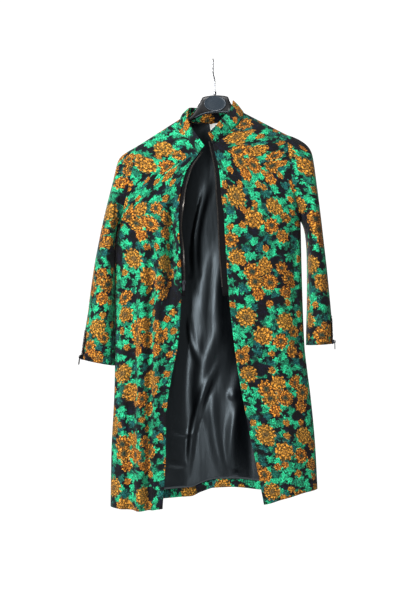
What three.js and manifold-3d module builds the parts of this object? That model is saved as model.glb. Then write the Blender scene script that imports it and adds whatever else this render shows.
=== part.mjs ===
// A knee-length tunic coat of flowered brocade with an open zipped front and a black lining,
// hanging on a moulded coat hanger with a steel wire hook.
// Millimetres, +Z up, the front faces -Y and the wearer's left is +X.
// The origin is where the inside of the hook rests on a rail.

import * as THREE from 'three';
import { mergeVertices } from 'three/addons/utils/BufferGeometryUtils.js';
import Module from 'manifold-3d';

const wasm = await Module();
wasm.setup();

// Cloth walls and the gap between two pieces at a seam
const CLOTH = 2.2;
const LINING = 1.2;
const TAPE = 1.2;
const GAP = 0.3;

// How finely the panels are divided
const ARM_ROWS = 10;
const NECK_ROWS = 5;
const ROWS = 25;
const ROW_FALL = 45;
const FRONT_COLUMNS = { right: 20, left: 12 };
const BACK_COLUMNS = 11;

// Armholes: an oval in a steep plane from the shoulder point to the underarm
const ARMHOLE_HALF_DEPTH = 54;
const ARMHOLE = {
  right: { side: -1, topX: -189, topZ: -215, lowX: -232, lowZ: -412, frontBow: 4 },
  left: { side: 1, topX: 185, topZ: -187, lowX: 219, lowZ: -402, frontBow: 10 },
};

// Height at which the side seams leave the armholes and the panels take their full depth
const CHEST_Z = -402;

// The neck seam: its point on each shoulder, and its ends at centre front and centre back
const NECK_SHOULDER = { right: { x: -80, z: -145.5 }, left: { x: 75, z: -130.5 } };
const NECK_FRONT = { right: { x: -35, y: -58, z: -240 }, left: { x: -1, y: -58, z: -216 } };
const NECK_BACK = { x: -2.5, y: 48, z: -151 };

// Side seams, half way between front and back: x at each height
const SIDE_SEAM = {
  right: [
    { z: -1113, x: -256 },
    { z: -984, x: -254 },
    { z: -827, x: -246 },
    { z: -763, x: -244 },
    { z: -700, x: -243 },
    { z: -560, x: -242.4 },
    { z: -500, x: -242.2 },
    { z: -468, x: -241.4 },
    { z: -440, x: -238.5 },
    { z: -412, x: -232 },
  ],
  left: [
    { z: -1069, x: 261 },
    { z: -957, x: 255 },
    { z: -840, x: 244 },
    { z: -770, x: 235 },
    { z: -711, x: 228.5 },
    { z: -539, x: 222 },
    { z: -402, x: 219 },
  ],
};

// Front edges: where each front ends beside the opening, at each height
const FRONT_EDGE = {
  right: [
    { z: -1112, x: -124, y: -58 },
    { z: -985, x: -116, y: -58 },
    { z: -890, x: -115, y: -60 },
    { z: -790, x: -102, y: -62 },
    { z: -706, x: -86, y: -64 },
    { z: -620, x: -79, y: -66 },
    { z: -565, x: -77, y: -66 },
    { z: -480, x: -80, y: -66 },
    { z: -420, x: -85, y: -66 },
    { z: -345, x: -81, y: -64 },
    { z: -285, x: -66, y: -61 },
    { z: -240, x: -35, y: -58 },
  ],
  left: [
    { z: -1101, x: 124, y: -60 },
    { z: -1020, x: 109, y: -61 },
    { z: -900, x: 84, y: -63 },
    { z: -757, x: 58, y: -65 },
    { z: -665, x: 46, y: -66 },
    { z: -565, x: 36, y: -67 },
    { z: -450, x: 29, y: -67 },
    { z: -395, x: 26, y: -66 },
    { z: -345, x: 20, y: -64 },
    { z: -295, x: 16, y: -62 },
    { z: -216, x: -1, y: -58 },
  ],
};

// Centre back line: where it lies at each height
const CENTRE_BACK = [
  { z: -1088, x: 0, y: 58 },
  { z: -850, x: 0, y: 53 },
  { z: -600, x: -1, y: 46 },
  { z: -330, x: -2, y: 56 },
  { z: -230, x: -2.5, y: 54 },
  { z: -151, x: -2.5, y: 48 },
];

// The height of the hem, from the wearer's right side seam to the left one
const HEM_FRONT = [
  { x: -256, z: -1113 },
  { x: -200, z: -1116 },
  { x: -161, z: -1117 },
  { x: -124, z: -1112 },
  { x: 124, z: -1101 },
  { x: 173, z: -1088 },
  { x: 225, z: -1074 },
  { x: 261, z: -1069 },
];
const HEM_BACK = [
  { x: -256, z: -1113 },
  { x: -126, z: -1103 },
  { x: -56, z: -1100 },
  { x: -30, z: -1088 },
  { x: 5, z: -1077 },
  { x: 44, z: -1075 },
  { x: 124, z: -1082 },
  { x: 261, z: -1069 },
];

// The largest folds. They start at x and z top, lean by the last column down to z low, and stand
// out from the panel by the height column, or sink into it where that is negative.
const FOLDS_FRONT = [
  { x: -101, top: -330, low: -640, width: 11, height: -15, lean: -4 },
  { x: -84, top: -360, low: -600, width: 9, height: 4, lean: 2 },
  { x: -126, top: -300, low: -1000, width: 12, height: 7, lean: -18 },
  { x: -147, top: -380, low: -1130, width: 11, height: -6, lean: -10 },
  { x: -168, top: -320, low: -1130, width: 13, height: 6, lean: -12 },
  { x: -196, top: -480, low: -1130, width: 13, height: -5, lean: -14 },
  { x: -214, top: -560, low: -1130, width: 12, height: 4, lean: -12 },
  { x: 196, top: -360, low: -760, width: 14, height: -4, lean: 12 },
  { x: 168, top: -560, low: -1110, width: 20, height: 4, lean: 30 },
  { x: 118, top: -520, low: -900, width: 24, height: -3, lean: 18 },
];
const FOLDS_BACK = [
  { x: -168, top: -330, low: -1130, width: 22, height: 7, lean: -22 },
  { x: -120, top: -420, low: -1130, width: 24, height: -7, lean: -14 },
  { x: -64, top: -520, low: -1130, width: 26, height: 6, lean: -8 },
  { x: 20, top: -430, low: -1130, width: 30, height: -5, lean: 6 },
  { x: 84, top: -480, low: -1130, width: 26, height: 7, lean: 16 },
  { x: 138, top: -400, low: -1130, width: 24, height: -6, lean: 22 },
  { x: 182, top: -340, low: -1130, width: 20, height: 6, lean: 28 },
];

// Collar: how far its upper edge lies from the neck seam, from the right end round to the left end
const COLLAR_RISE = [
  { along: 0, x: 15, y: -20, z: 16 },
  { along: 0.125, x: 11, y: 8, z: 26 },
  { along: 0.25, x: 20, y: 2, z: 25 },
  { along: 0.375, x: 8, y: -7, z: 35 },
  { along: 0.5, x: 0, y: -9, z: 37 },
  { along: 0.625, x: -8, y: -7, z: 35 },
  { along: 0.75, x: -27, y: 0, z: 30 },
  { along: 0.875, x: -24, y: 6, z: 30 },
  { along: 1, x: -12, y: -18, z: 24 },
];
const COLLAR_ROWS = 3;
const COLLAR_CROWN = 2.5;

// Sleeves: each section runs from an outer point to an inner point, and is deep from front to back
const SLEEVE = {
  right: [
    { outX: -206, outZ: -225, inX: -234.5, inZ: -416, halfDepth: 56 },
    { outX: -219, outZ: -233, inX: -236.5, inZ: -420, halfDepth: 58 },
    { outX: -230, outZ: -242, inX: -238, inZ: -425, halfDepth: 59 },
    { outX: -237, outZ: -254, inX: -239.5, inZ: -431, halfDepth: 60 },
    { outX: -242.5, outZ: -274, inX: -241, inZ: -439, halfDepth: 61 },
    { outX: -251, outZ: -310, inX: -242, inZ: -450, halfDepth: 62 },
    { outX: -263, outZ: -356, inX: -243, inZ: -468, halfDepth: 62 },
    { outX: -277, outZ: -415, inX: -243.5, inZ: -497, halfDepth: 60 },
    { outX: -287, outZ: -465, inX: -243.5, inZ: -533, halfDepth: 58 },
    { outX: -296, outZ: -512, inX: -243.5, inZ: -568, halfDepth: 56 },
    { outX: -305, outZ: -572, inX: -243.5, inZ: -618, halfDepth: 53 },
    { outX: -313, outZ: -633, inX: -243.5, inZ: -670, halfDepth: 50 },
    { outX: -322, outZ: -690, inX: -244, inZ: -716, halfDepth: 47 },
    { outX: -330, outZ: -746, inX: -245, inZ: -763, halfDepth: 45 },
  ],
  left: [
    { outX: 203, outZ: -193.5, inX: 221, inZ: -406, halfDepth: 56 },
    { outX: 221, outZ: -203, inX: 223, inZ: -410, halfDepth: 58 },
    { outX: 236, outZ: -215, inX: 225, inZ: -415, halfDepth: 59 },
    { outX: 246, outZ: -232, inX: 227, inZ: -421, halfDepth: 60 },
    { outX: 252, outZ: -262, inX: 229, inZ: -429, halfDepth: 61 },
    { outX: 257, outZ: -300, inX: 231, inZ: -440, halfDepth: 62 },
    { outX: 263, outZ: -345, inX: 233, inZ: -458, halfDepth: 62 },
    { outX: 270, outZ: -400, inX: 234.5, inZ: -486, halfDepth: 60 },
    { outX: 277, outZ: -460, inX: 235, inZ: -526, halfDepth: 59 },
    { outX: 284, outZ: -520, inX: 235, inZ: -572, halfDepth: 58 },
    { outX: 291, outZ: -590, inX: 234.5, inZ: -624, halfDepth: 56 },
    { outX: 297, outZ: -655, inX: 233, inZ: -674, halfDepth: 53 },
    { outX: 299, outZ: -708, inX: 232.5, inZ: -712, halfDepth: 50 },
  ],
};

// Front zip: the strip of tape that shows beside each edge, from the neck down
const ZIP_LAST_ROW = 14;
const ZIP_UNDER = 4;
const TAPE_SLACK = 0.7;
const ZIP_SHOWS = {
  right: [
    { along: 0, wide: 9 },
    { along: 0.2, wide: 14 },
    { along: 0.6, wide: 10 },
    { along: 1, wide: 8 },
  ],
  left: [
    { along: 0, wide: 11 },
    { along: 0.3, wide: 13 },
    { along: 0.7, wide: 17 },
    { along: 1, wide: 15 },
  ],
};

// Cuff zips: a strip of tape up the outer edge of each sleeve
const CUFF_ZIP = { turn: -0.46, width: 15, length: 74, rows: 4, slack: 0.3 };
const FRONT_SLIDER = { row: 13, back: 0.3, beside: 6 };

// Zip sliders with their pull tabs: one at the foot of the front zip and one at each cuff.
// The pull's end bar turns inside the slider's bail.
const SLIDER = { width: 8, long: 10, deep: 3.2, corner: 1.6 };
const BAIL = { width: 1.6, long: 6.4, rise: 3.6, strip: 1.2, sunk: 0.4 };
const PULL = {
  width: 6, long: 20, thick: 1.4, eyeLong: 4.4, eyeWide: 2.8, bar: 1.4, above: 0.5,
  waist: 0.6, neckLong: 6, corner: 1.4, cutLong: 4, shoulder: 1,
};
const ZIP_BOX = { width: 7, long: 9, deep: 2.6, corner: 1, below: 0.3 };

// Label sewn in under the back of the neck: its top left corner, how far its top edge rises to the
// right, and how far each side edge leans
const LABEL = { x: -9, z: -153.5, wide: 38, rise: 6, tall: 19, lean: 4, thick: 1, slack: 0.3 };

// Hanger: sections of its moulded body from the right arm's tip to the left arm's tip
const HANGER = [
  { x: -197, top: -226, low: -238, halfDepth: 6 },
  { x: -185, top: -215.6, low: -241, halfDepth: 9 },
  { x: -150, top: -196, low: -223, halfDepth: 10 },
  { x: -110, top: -173, low: -200, halfDepth: 9 },
  { x: -82, top: -156, low: -179, halfDepth: 7 },
  { x: -64, top: -144, low: -163, halfDepth: 6.5 },
  { x: -52, top: -136, low: -151, halfDepth: 6.5 },
  { x: -42, top: -121, low: -145.5, halfDepth: 6.5 },
  { x: -33, top: -105, low: -141, halfDepth: 6.5 },
  { x: -25, top: -92.5, low: -137.5, halfDepth: 6.5 },
  { x: -10, top: -89.2, low: -133.8, halfDepth: 6.5 },
  { x: 6, top: -87.5, low: -132.3, halfDepth: 6.5 },
  { x: 24, top: -88.6, low: -132, halfDepth: 6.5 },
  { x: 37, top: -91.5, low: -133, halfDepth: 6.5 },
  { x: 43, top: -105, low: -135, halfDepth: 6.5 },
  { x: 51, top: -118, low: -139.5, halfDepth: 6.5 },
  { x: 62, top: -130, low: -148, halfDepth: 6.5 },
  { x: 80, top: -140, low: -162, halfDepth: 7 },
  { x: 110, top: -156.5, low: -182, halfDepth: 9 },
  { x: 150, top: -175.5, low: -202, halfDepth: 10 },
  { x: 183, top: -189.1, low: -214, halfDepth: 9 },
  { x: 195, top: -197.5, low: -209, halfDepth: 6 },
];
const HANGER_SIDES = 14;
const HANGER_SQUARENESS = 0.9;
const PLATE_HALF_DEPTH = 6.5;
const BOSS = { x: 5.5, z: -109.5, halfWidth: 27.5, halfHeight: 19.5, proud: 2 };

// Hook: a round wire bent over the rail, in a plane square to the rail
const WIRE = 1.8;
const WIRE_SIDES = 8;
const HOOK_BEND = 19.3;
const HOOK_ARC = { from: -0.35, to: 3.95, steps: 18 };
const HOOK_NECK = { drop: 26, leave: 11, arrive: 13, steps: 7 };
const SHANK_X = 4.5;
const FERRULE = { radius: 4.4, top: -79, low: -86 };
const PLATE_TOP = -87.6;

const fabric = new THREE.MeshStandardMaterial({ color: 0xb9822f, roughness: 0.9, metalness: 0 });
const satin = new THREE.MeshStandardMaterial({ color: 0x14171c, roughness: 0.4, metalness: 0 });
const blackTape = new THREE.MeshStandardMaterial({ color: 0x101014, roughness: 0.8, metalness: 0 });
const blackMetal = new THREE.MeshStandardMaterial({ color: 0x26262a, roughness: 0.4, metalness: 0.8 });
const whiteTape = new THREE.MeshStandardMaterial({ color: 0xf0f0ec, roughness: 0.7, metalness: 0 });
const plastic = new THREE.MeshStandardMaterial({ color: 0x15181c, roughness: 0.35, metalness: 0 });
const steel = new THREE.MeshStandardMaterial({ color: 0xb9bcc0, roughness: 0.25, metalness: 1 });

const vector = (x, y, z) => new THREE.Vector3(x, y, z);
const lerp = THREE.MathUtils.lerp;
const eased = THREE.MathUtils.smoothstep;

// Reads one column of a table at a place along another, with a smooth curve through its rows.
function read(table, key, place, column) {
  const rows = [...table].sort((a, b) => a[key] - b[key]);
  const last = rows.length - 1;
  if (place <= rows[0][key]) return rows[0][column];
  if (place >= rows[last][key]) return rows[last][column];
  const k = rows.findIndex((row, i) => place <= rows[i + 1][key]);
  const slope = (i) => {
    const a = Math.min(Math.max(i, 0), last - 1);
    return (rows[a + 1][column] - rows[a][column]) / (rows[a + 1][key] - rows[a][key]);
  };
  const tangent = (i) => {
    const before = slope(i - 1);
    const after = slope(i);
    return before * after <= 0 ? 0 : (2 * before * after) / (before + after);
  };
  const span = rows[k + 1][key] - rows[k][key];
  const t = (place - rows[k][key]) / span;
  const start = (2 * t ** 3 - 3 * t ** 2 + 1) * rows[k][column];
  const end = (3 * t ** 2 - 2 * t ** 3) * rows[k + 1][column];
  const leave = (t ** 3 - 2 * t ** 2 + t) * span * tangent(k);
  const arrive = (t ** 3 - t ** 2) * span * tangent(k + 1);
  return start + leave + arrive + end;
}

// A point of the armhole seam. The angle is 0 at the shoulder and negative over the front.
function armholePoint(arm, angle, shift) {
  const top = vector(arm.topX, 0, arm.topZ);
  const low = vector(arm.lowX, 0, arm.lowZ);
  const middle = top.clone().add(low).multiplyScalar(0.5);
  const half = top.clone().sub(low).multiplyScalar(0.5);
  const outward = vector(half.z, 0, -half.x).normalize().multiplyScalar(arm.side);
  const point = middle.addScaledVector(half, Math.cos(angle));
  point.y = ARMHOLE_HALF_DEPTH * Math.sin(angle);
  if (angle < 0) point.x -= arm.side * arm.frontBow * Math.sin(angle) ** 2;
  point.addScaledVector(outward, shift);
  point.own = [outward.multiplyScalar(Math.sign(shift))];
  return point;
}

// The edge of a panel at the armhole and the side seam, from the shoulder down.
function outerEdge(name, face, row) {
  const arm = ARMHOLE[name];
  if (row <= ARM_ROWS) return armholePoint(arm, (face * Math.PI * row) / ARM_ROWS, -GAP / 2);
  const hem = read(face < 0 ? HEM_FRONT : HEM_BACK, 'x', arm.side * 300, 'z');
  const z = lerp(arm.lowZ, hem, (row - ARM_ROWS) / (ROWS - ARM_ROWS));
  return vector(read(SIDE_SEAM[name], 'z', z, 'x'), 0, z);
}

// The neck seam from a shoulder point to centre front or centre back.
function neckPoint(name, face, along) {
  const start = NECK_SHOULDER[name];
  const end = face < 0 ? NECK_FRONT[name] : NECK_BACK;
  const angle = (along * Math.PI) / 2;
  const x = lerp(start.x, end.x, 1 - Math.cos(angle));
  return vector(x, end.y * Math.sin(angle), lerp(start.z, end.z, along));
}

// The edge of a panel at the neck and then the front edge or the centre back line.
function innerEdge(name, face, row) {
  if (row <= NECK_ROWS) return neckPoint(name, face, row / NECK_ROWS);
  const line = face < 0 ? FRONT_EDGE[name] : CENTRE_BACK;
  const neck = face < 0 ? NECK_FRONT[name].z : NECK_BACK.z;
  const chest = CHEST_Z;
  const hem = read(face < 0 ? HEM_FRONT : HEM_BACK, 'x', read(line, 'z', -1300, 'x'), 'z');
  const below = row > ARM_ROWS;
  const share = (row - NECK_ROWS) / (ARM_ROWS - NECK_ROWS);
  const z = below ? lerp(chest, hem, (row - ARM_ROWS) / (ROWS - ARM_ROWS)) : lerp(neck, chest, share);
  return vector(read(line, 'z', z, 'x'), read(line, 'z', z, 'y'), z);
}

// How far the folds move a point out of its panel.
function foldHeight(face, x, z) {
  let height = 0;
  for (const fold of face < 0 ? FOLDS_FRONT : FOLDS_BACK) {
    const down = (fold.top - z) / (fold.top - fold.low);
    const middle = fold.x + fold.lean * down;
    const fade = eased(down, 0, 0.3) * (fold.low < -1100 ? 1 : 1 - eased(down, 0.7, 1));
    height += fold.height * fade * Math.exp(-(((x - middle) / fold.width) ** 2));
  }
  return height;
}

// One point of a panel's outer surface, on a row and a share of the way across from the side.
const CORNER = 2.5;
const CROWDING = 1.35;
function panelPoint(name, face, row, across) {
  const outer = outerEdge(name, face, row);
  const inner = innerEdge(name, face, row);
  if (across === 0 && row > 0 && row < ARM_ROWS) return outer;
  const round = eased(row, 0, NECK_ROWS);
  const over = across ** CROWDING;
  const forward = lerp(over, (1 - (1 - over) ** CORNER) ** (1 / CORNER), round);
  const point = vector(lerp(outer.x, inner.x, over), lerp(outer.y, inner.y, forward), 0);
  point.z = lerp(outer.z, inner.z, over);
  if (row > ARM_ROWS) {
    const chest = lerp(outerEdge(name, face, ARM_ROWS).z, innerEdge(name, face, ARM_ROWS).z, over);
    const hem = read(face < 0 ? HEM_FRONT : HEM_BACK, 'x', point.x, 'z');
    point.z = lerp(chest, hem, (row - ARM_ROWS) / (ROWS - ARM_ROWS));
  }
  point.y += face * foldHeight(face, point.x, point.z) * eased(across, 0, 0.25);
  point.own = [];
  if (row === 0 || (across === 0 && row >= ARM_ROWS)) {
    point.y = (face * GAP) / 2;
    point.own = [vector(0, face, 0)];
  }
  if (across === 0 && row <= ARM_ROWS) point.own.push(...outer.own);
  return Object.assign(point, { row, across });
}

// The grid of a panel's outer points, a line of points for each row.
function panelGrid(name, face, columns, rows) {
  const across = Array.from({ length: columns + 1 }, (_, k) => k / columns);
  return rows.map((row) => across.map((share) => panelPoint(name, face, row, share)));
}

// Joins grids of points into one sheet of triangles whose shared points are merged.
function sheetOf(grids) {
  const points = [];
  const faces = [];
  const known = new Map();
  const indexOf = (p) => {
    const key = [p.x, p.y, p.z].map((v) => Math.round(v * 1000)).join(' ');
    if (!known.has(key)) {
      known.set(key, points.length);
      points.push(p);
    }
    return known.get(key);
  };
  const addFace = (a, b, c, turned) => {
    if (a === b || b === c || c === a) return;
    faces.push(turned ? [a, c, b] : [a, b, c]);
  };
  for (const { grid, turned } of grids) {
    for (let i = 0; i + 1 < grid.length; i++) {
      for (let j = 0; j + 1 < grid[i].length; j++) {
        const [a, b] = [indexOf(grid[i][j]), indexOf(grid[i][j + 1])];
        const [d, c] = [indexOf(grid[i + 1][j]), indexOf(grid[i + 1][j + 1])];
        addFace(a, b, c, turned);
        addFace(a, c, d, turned);
      }
    }
  }
  return { points, faces };
}

// The outward normal at each point of a sheet.
function normalsOf({ points, faces }) {
  const normals = points.map(() => vector(0, 0, 0));
  for (const [a, b, c] of faces) {
    const ab = points[b].clone().sub(points[a]);
    const ac = points[c].clone().sub(points[a]);
    const normal = ab.cross(ac);
    for (const k of [a, b, c]) normals[k].add(normal);
  }
  return normals.map((n) => n.normalize());
}

// Gives a sheet its thickness on the inner side. At a seam the wall stays on its own side.
function wallOf(sheet, thick, lift = 0) {
  const normals = sheet.normals ?? normalsOf(sheet);
  const count = sheet.points.length;
  const outer = sheet.points.map((p, i) => p.clone().addScaledVector(normals[i], lift));
  const inner = sheet.points.map((p, i) => {
    const inward = normals[i].clone().negate();
    for (const own of p.own ?? []) inward.addScaledVector(own, -Math.min(inward.dot(own), 0));
    return outer[i].clone().addScaledVector(inward.normalize(), thick);
  });
  const triangles = [];
  const edges = new Set();
  for (const [a, b, c] of sheet.faces) {
    triangles.push(a, b, c, a + count, c + count, b + count);
    for (const [p, q] of [[a, b], [b, c], [c, a]]) edges.add(`${p} ${q}`);
  }
  for (const edge of edges) {
    const [p, q] = edge.split(' ').map(Number);
    if (!edges.has(`${q} ${p}`)) triangles.push(q, p, p + count, q, p + count, q + count);
  }
  return geometryOf([...outer, ...inner], triangles);
}

function geometryOf(points, triangles) {
  const geometry = new THREE.BufferGeometry();
  const places = points.flatMap((p) => [p.x, p.y, p.z]);
  geometry.setAttribute('position', new THREE.Float32BufferAttribute(places, 3));
  geometry.setIndex(triangles);
  return geometry;
}

// Closed tube through rings of points, with a flat cap at each end.
function tubeOf(rings) {
  const sides = rings[0].length;
  const points = rings.flat();
  const triangles = [];
  for (let i = 0; i + 1 < rings.length; i++) {
    for (let j = 0; j < sides; j++) {
      const a = i * sides + j;
      const b = i * sides + ((j + 1) % sides);
      triangles.push(a, b, b + sides, a, b + sides, a + sides);
    }
  }
  const end = (rings.length - 1) * sides;
  for (let j = 1; j + 1 < sides; j++) triangles.push(0, j + 1, j, end, end + j, end + j + 1);
  return geometryOf(points, triangles);
}

function solidOf(geometry) {
  const bare = geometry.clone();
  bare.deleteAttribute('normal');
  bare.deleteAttribute('uv');
  const merged = mergeVertices(bare, 1e-4);
  const vertProperties = new Float32Array(merged.attributes.position.array);
  const triVerts = new Uint32Array(merged.index.array);
  return new wasm.Manifold(new wasm.Mesh({ numProp: 3, vertProperties, triVerts }));
}

function geometryFrom(solid) {
  const made = solid.getMesh();
  const geometry = new THREE.BufferGeometry();
  geometry.setAttribute('position', new THREE.Float32BufferAttribute(made.vertProperties, 3));
  geometry.setIndex([...made.triVerts]);
  return geometry;
}

function pieceOf(name, geometry, material) {
  const mesh = new THREE.Mesh(geometry, material);
  mesh.name = name;
  return mesh;
}

// The two fronts
const WHOLE_ROWS = Array.from({ length: ROWS + 1 }, (_, row) => row);
const frontSheet = (name) => {
  const grid = panelGrid(name, -1, FRONT_COLUMNS[name], WHOLE_ROWS);
  const sheet = sheetOf([{ grid, turned: name === 'right' }]);
  return { ...sheet, normals: normalsOf(sheet) };
};

// The back, one piece whose two halves share the centre line
const FACING_ROW = ROWS - 0.5;
function backSheet() {
  const rows = [...WHOLE_ROWS, FACING_ROW].sort((a, b) => a - b);
  const half = (name) => panelGrid(name, 1, BACK_COLUMNS, rows);
  const sheet = sheetOf([{ grid: half('right'), turned: false }, { grid: half('left'), turned: true }]);
  return { ...sheet, normals: normalsOf(sheet) };
}

// The stretch of a sheet whose points all pass a test
function stretchOf(sheet, test) {
  const faces = sheet.faces.filter((face) => face.every((k) => test(sheet.points[k])));
  const used = [...new Set(faces.flat())];
  const place = new Map(used.map((k, i) => [k, i]));
  return {
    points: used.map((k) => sheet.points[k].clone()),
    normals: used.map((k) => sheet.normals[k]),
    faces: faces.map((face) => face.map((k) => place.get(k))),
  };
}

// The hem turned up inside the back, and the lining that hangs over its upper edge
const hemFacing = (back) => {
  const sheet = stretchOf(back, (p) => p.row >= FACING_ROW && p.across > 0);
  return wallOf(sheet, LINING, -(CLOTH + GAP));
};
const LINING_ROW = 2;
const liningBack = (back) => {
  const sheet = stretchOf(back, (p) => p.row >= LINING_ROW && p.row <= FACING_ROW && p.across > 0);
  return wallOf(sheet, LINING, -(CLOTH + LINING + 2 * GAP));
};

// Stand collar on the neck seam
function neckRing() {
  const ring = [];
  for (let k = NECK_ROWS; k > 0; k--) ring.push(neckPoint('right', -1, k / NECK_ROWS));
  for (let k = 0; k < NECK_ROWS; k++) ring.push(neckPoint('right', 1, k / NECK_ROWS));
  for (let k = NECK_ROWS; k > 0; k--) ring.push(neckPoint('left', 1, k / NECK_ROWS));
  for (let k = 0; k <= NECK_ROWS; k++) ring.push(neckPoint('left', -1, k / NECK_ROWS));
  return ring;
}

function collarSheet() {
  const ring = neckRing();
  const grid = [];
  for (let i = 0; i <= COLLAR_ROWS; i++) {
    const up = 1 - i / COLLAR_ROWS;
    grid.push(ring.map((base, k) => {
      const along = k / (ring.length - 1);
      const rise = vector(...['x', 'y', 'z'].map((axis) => read(COLLAR_RISE, 'along', along, axis)));
      const out = base.clone().setZ(0).normalize().multiplyScalar(COLLAR_CROWN * Math.sin(Math.PI * up));
      const seam = rise.clone().setLength(GAP * 2);
      return base.clone().add(seam).addScaledVector(rise, up).add(out);
    }));
  }
  return sheetOf([{ grid, turned: true }]);
}

// Sleeves: the armhole and then a ring for each section
function sleeveRing(section, angle) {
  const out = vector(section.outX, 0, section.outZ);
  const into = vector(section.inX, 0, section.inZ);
  const middle = out.clone().add(into).multiplyScalar(0.5);
  const point = middle.addScaledVector(out.clone().sub(into), Math.cos(angle) / 2);
  point.y = section.halfDepth * Math.sin(angle);
  return point;
}

function sleeveSheet(name) {
  const sides = 2 * ARM_ROWS;
  const angles = Array.from({ length: sides + 1 }, (_, k) => -Math.PI + (2 * Math.PI * k) / sides);
  const seam = angles.map((angle) => armholePoint(ARMHOLE[name], angle, GAP / 2));
  const grid = [seam, ...SLEEVE[name].map((section) => angles.map((a) => sleeveRing(section, a)))];
  return sheetOf([{ grid, turned: name === 'left' }]);
}

// Zip tape beside a front edge, from the front's own points: part lies under it and part shows
function zipTape(name, front) {
  const side = ARMHOLE[name].side;
  const columns = FRONT_COLUMNS[name];
  const find = (row, across) => front.points.findIndex((p) => p.row === row && p.across === across);
  const points = [];
  const normals = [];
  const steps = ZIP_LAST_ROW - NECK_ROWS;
  for (let k = 0; k <= steps; k++) {
    const edge = find(NECK_ROWS + k, 1);
    const before = find(NECK_ROWS + k, 1 - 1 / columns);
    const reach = front.points[edge].clone().sub(front.points[before]);
    const share = ZIP_UNDER / reach.length();
    const wide = read(ZIP_SHOWS[name], 'along', k / steps, 'wide');
    points.push(front.points[edge].clone().addScaledVector(reach, -share));
    points.push(front.points[edge].clone());
    points.push(front.points[edge].clone().addScaledVector(reach, wide / reach.length()));
    normals.push(front.normals[edge].clone().lerp(front.normals[before], share).normalize());
    normals.push(front.normals[edge], front.normals[edge]);
  }
  const faces = [];
  for (let k = 0; k < steps; k++) {
    for (const c of [3 * k, 3 * k + 1]) {
      const first = side < 0 ? [c, c + 4, c + 1] : [c, c + 1, c + 4];
      const second = side < 0 ? [c, c + 3, c + 4] : [c, c + 4, c + 3];
      faces.push(first, second);
    }
  }
  return wallOf({ points, faces, normals }, TAPE, -(CLOTH + GAP + TAPE_SLACK));
}

// Zip tape up the outer edge of a cuff, lying on the sleeve
function cuffSections(name) {
  const sections = SLEEVE[name];
  const last = sections.length - 1;
  const span = Math.abs(sections[last].outZ - sections[last - 2].outZ) / 2;
  return Array.from({ length: CUFF_ZIP.rows + 1 }, (_, i) => {
    const place = last - ((CUFF_ZIP.length / span) * (CUFF_ZIP.rows - i)) / CUFF_ZIP.rows;
    const start = Math.min(Math.floor(place), last - 1);
    const keys = Object.keys(sections[start]);
    const between = (key) => lerp(sections[start][key], sections[start + 1][key], place - start);
    return Object.fromEntries(keys.map((key) => [key, between(key)]));
  });
}

function cuffTape(name) {
  const grid = cuffSections(name).map((section) => {
    const half = CUFF_ZIP.width / 2 / section.halfDepth;
    return [-half, 0, half].map((turn) => sleeveRing(section, CUFF_ZIP.turn + turn));
  });
  return wallOf(sheetOf([{ grid, turned: name === 'left' }]), TAPE, GAP + TAPE + CUFF_ZIP.slack);
}

// The place of a slider: across, down and out from the tape
function placeOf(origin, down, out) {
  const n = out.clone().normalize();
  const d = down.clone().addScaledVector(n, -down.dot(n)).normalize();
  const w = d.clone().cross(n);
  return new THREE.Matrix4().makeBasis(w, d, n).setPosition(origin);
}

function cuffSliderPlace(name) {
  const sections = cuffSections(name);
  const [above, cuff] = sections.slice(-2);
  const at = sleeveRing(cuff, CUFF_ZIP.turn);
  const down = at.clone().sub(sleeveRing(above, CUFF_ZIP.turn));
  const along = sleeveRing(cuff, CUFF_ZIP.turn + 0.1).sub(sleeveRing(cuff, CUFF_ZIP.turn - 0.1));
  const out = down.clone().cross(along).normalize();
  out.multiplyScalar(Math.sign(out.x * ARMHOLE[name].side));
  const origin = at.addScaledVector(down.clone().normalize(), -SLIDER.long / 2 - 1);
  return placeOf(origin.addScaledVector(out, 2 * GAP + TAPE + CUFF_ZIP.slack), down, out);
}

function frontZipPlace(front, row, back) {
  const [edge, before, next] = [[row, 0], [row, 1], [row + 1, 0]].map(([r, k]) => (
    front.points.findIndex((p) => p.row === r && p.across === 1 - k / FRONT_COLUMNS.right)
  ));
  const reach = front.points[edge].clone().sub(front.points[before]).normalize();
  const down = front.points[next].clone().sub(front.points[edge]);
  const out = front.normals[edge];
  const origin = front.points[edge].clone().addScaledVector(reach, FRONT_SLIDER.beside);
  origin.addScaledVector(out, GAP - (CLOTH + GAP + TAPE_SLACK)).addScaledVector(down, back);
  return placeOf(origin, down, out);
}

// An outline with cut corners, extruded outwards from the tape
function block(width, long, deep, corner) {
  const [w, l] = [width / 2, long / 2];
  const shape = new THREE.Shape([
    [-w, -l + corner], [-w + corner, -l], [w - corner, -l], [w, -l + corner],
    [w, l - corner], [w - corner, l], [-w + corner, l], [-w, l - corner],
  ].map(([x, y]) => new THREE.Vector2(x, y)));
  return new THREE.ExtrudeGeometry(shape, { depth: deep, bevelEnabled: false });
}

const rectangle = (Path, left, low, right, top) => new Path([
  new THREE.Vector2(left, low),
  new THREE.Vector2(right, low),
  new THREE.Vector2(right, top),
  new THREE.Vector2(left, top),
]);

function slider(place) {
  const body = block(SLIDER.width, SLIDER.long, SLIDER.deep, SLIDER.corner);
  const half = BAIL.long / 2;
  const top = SLIDER.deep + BAIL.rise;
  const arch = rectangle(THREE.Shape, -half, SLIDER.deep - BAIL.sunk, half, top);
  arch.holes.push(rectangle(THREE.Path, BAIL.strip - half, SLIDER.deep, half - BAIL.strip, top - BAIL.strip));
  const upright = new THREE.Matrix4().makeBasis(vector(0, 1, 0), vector(0, 0, 1), vector(1, 0, 0));
  const strip = new THREE.ExtrudeGeometry(arch, { depth: BAIL.width, bevelEnabled: false });
  strip.translate(0, 0, -BAIL.width / 2).applyMatrix4(upright);
  return geometryFrom(solidOf(body).add(solidOf(strip))).applyMatrix4(place);
}

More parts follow.
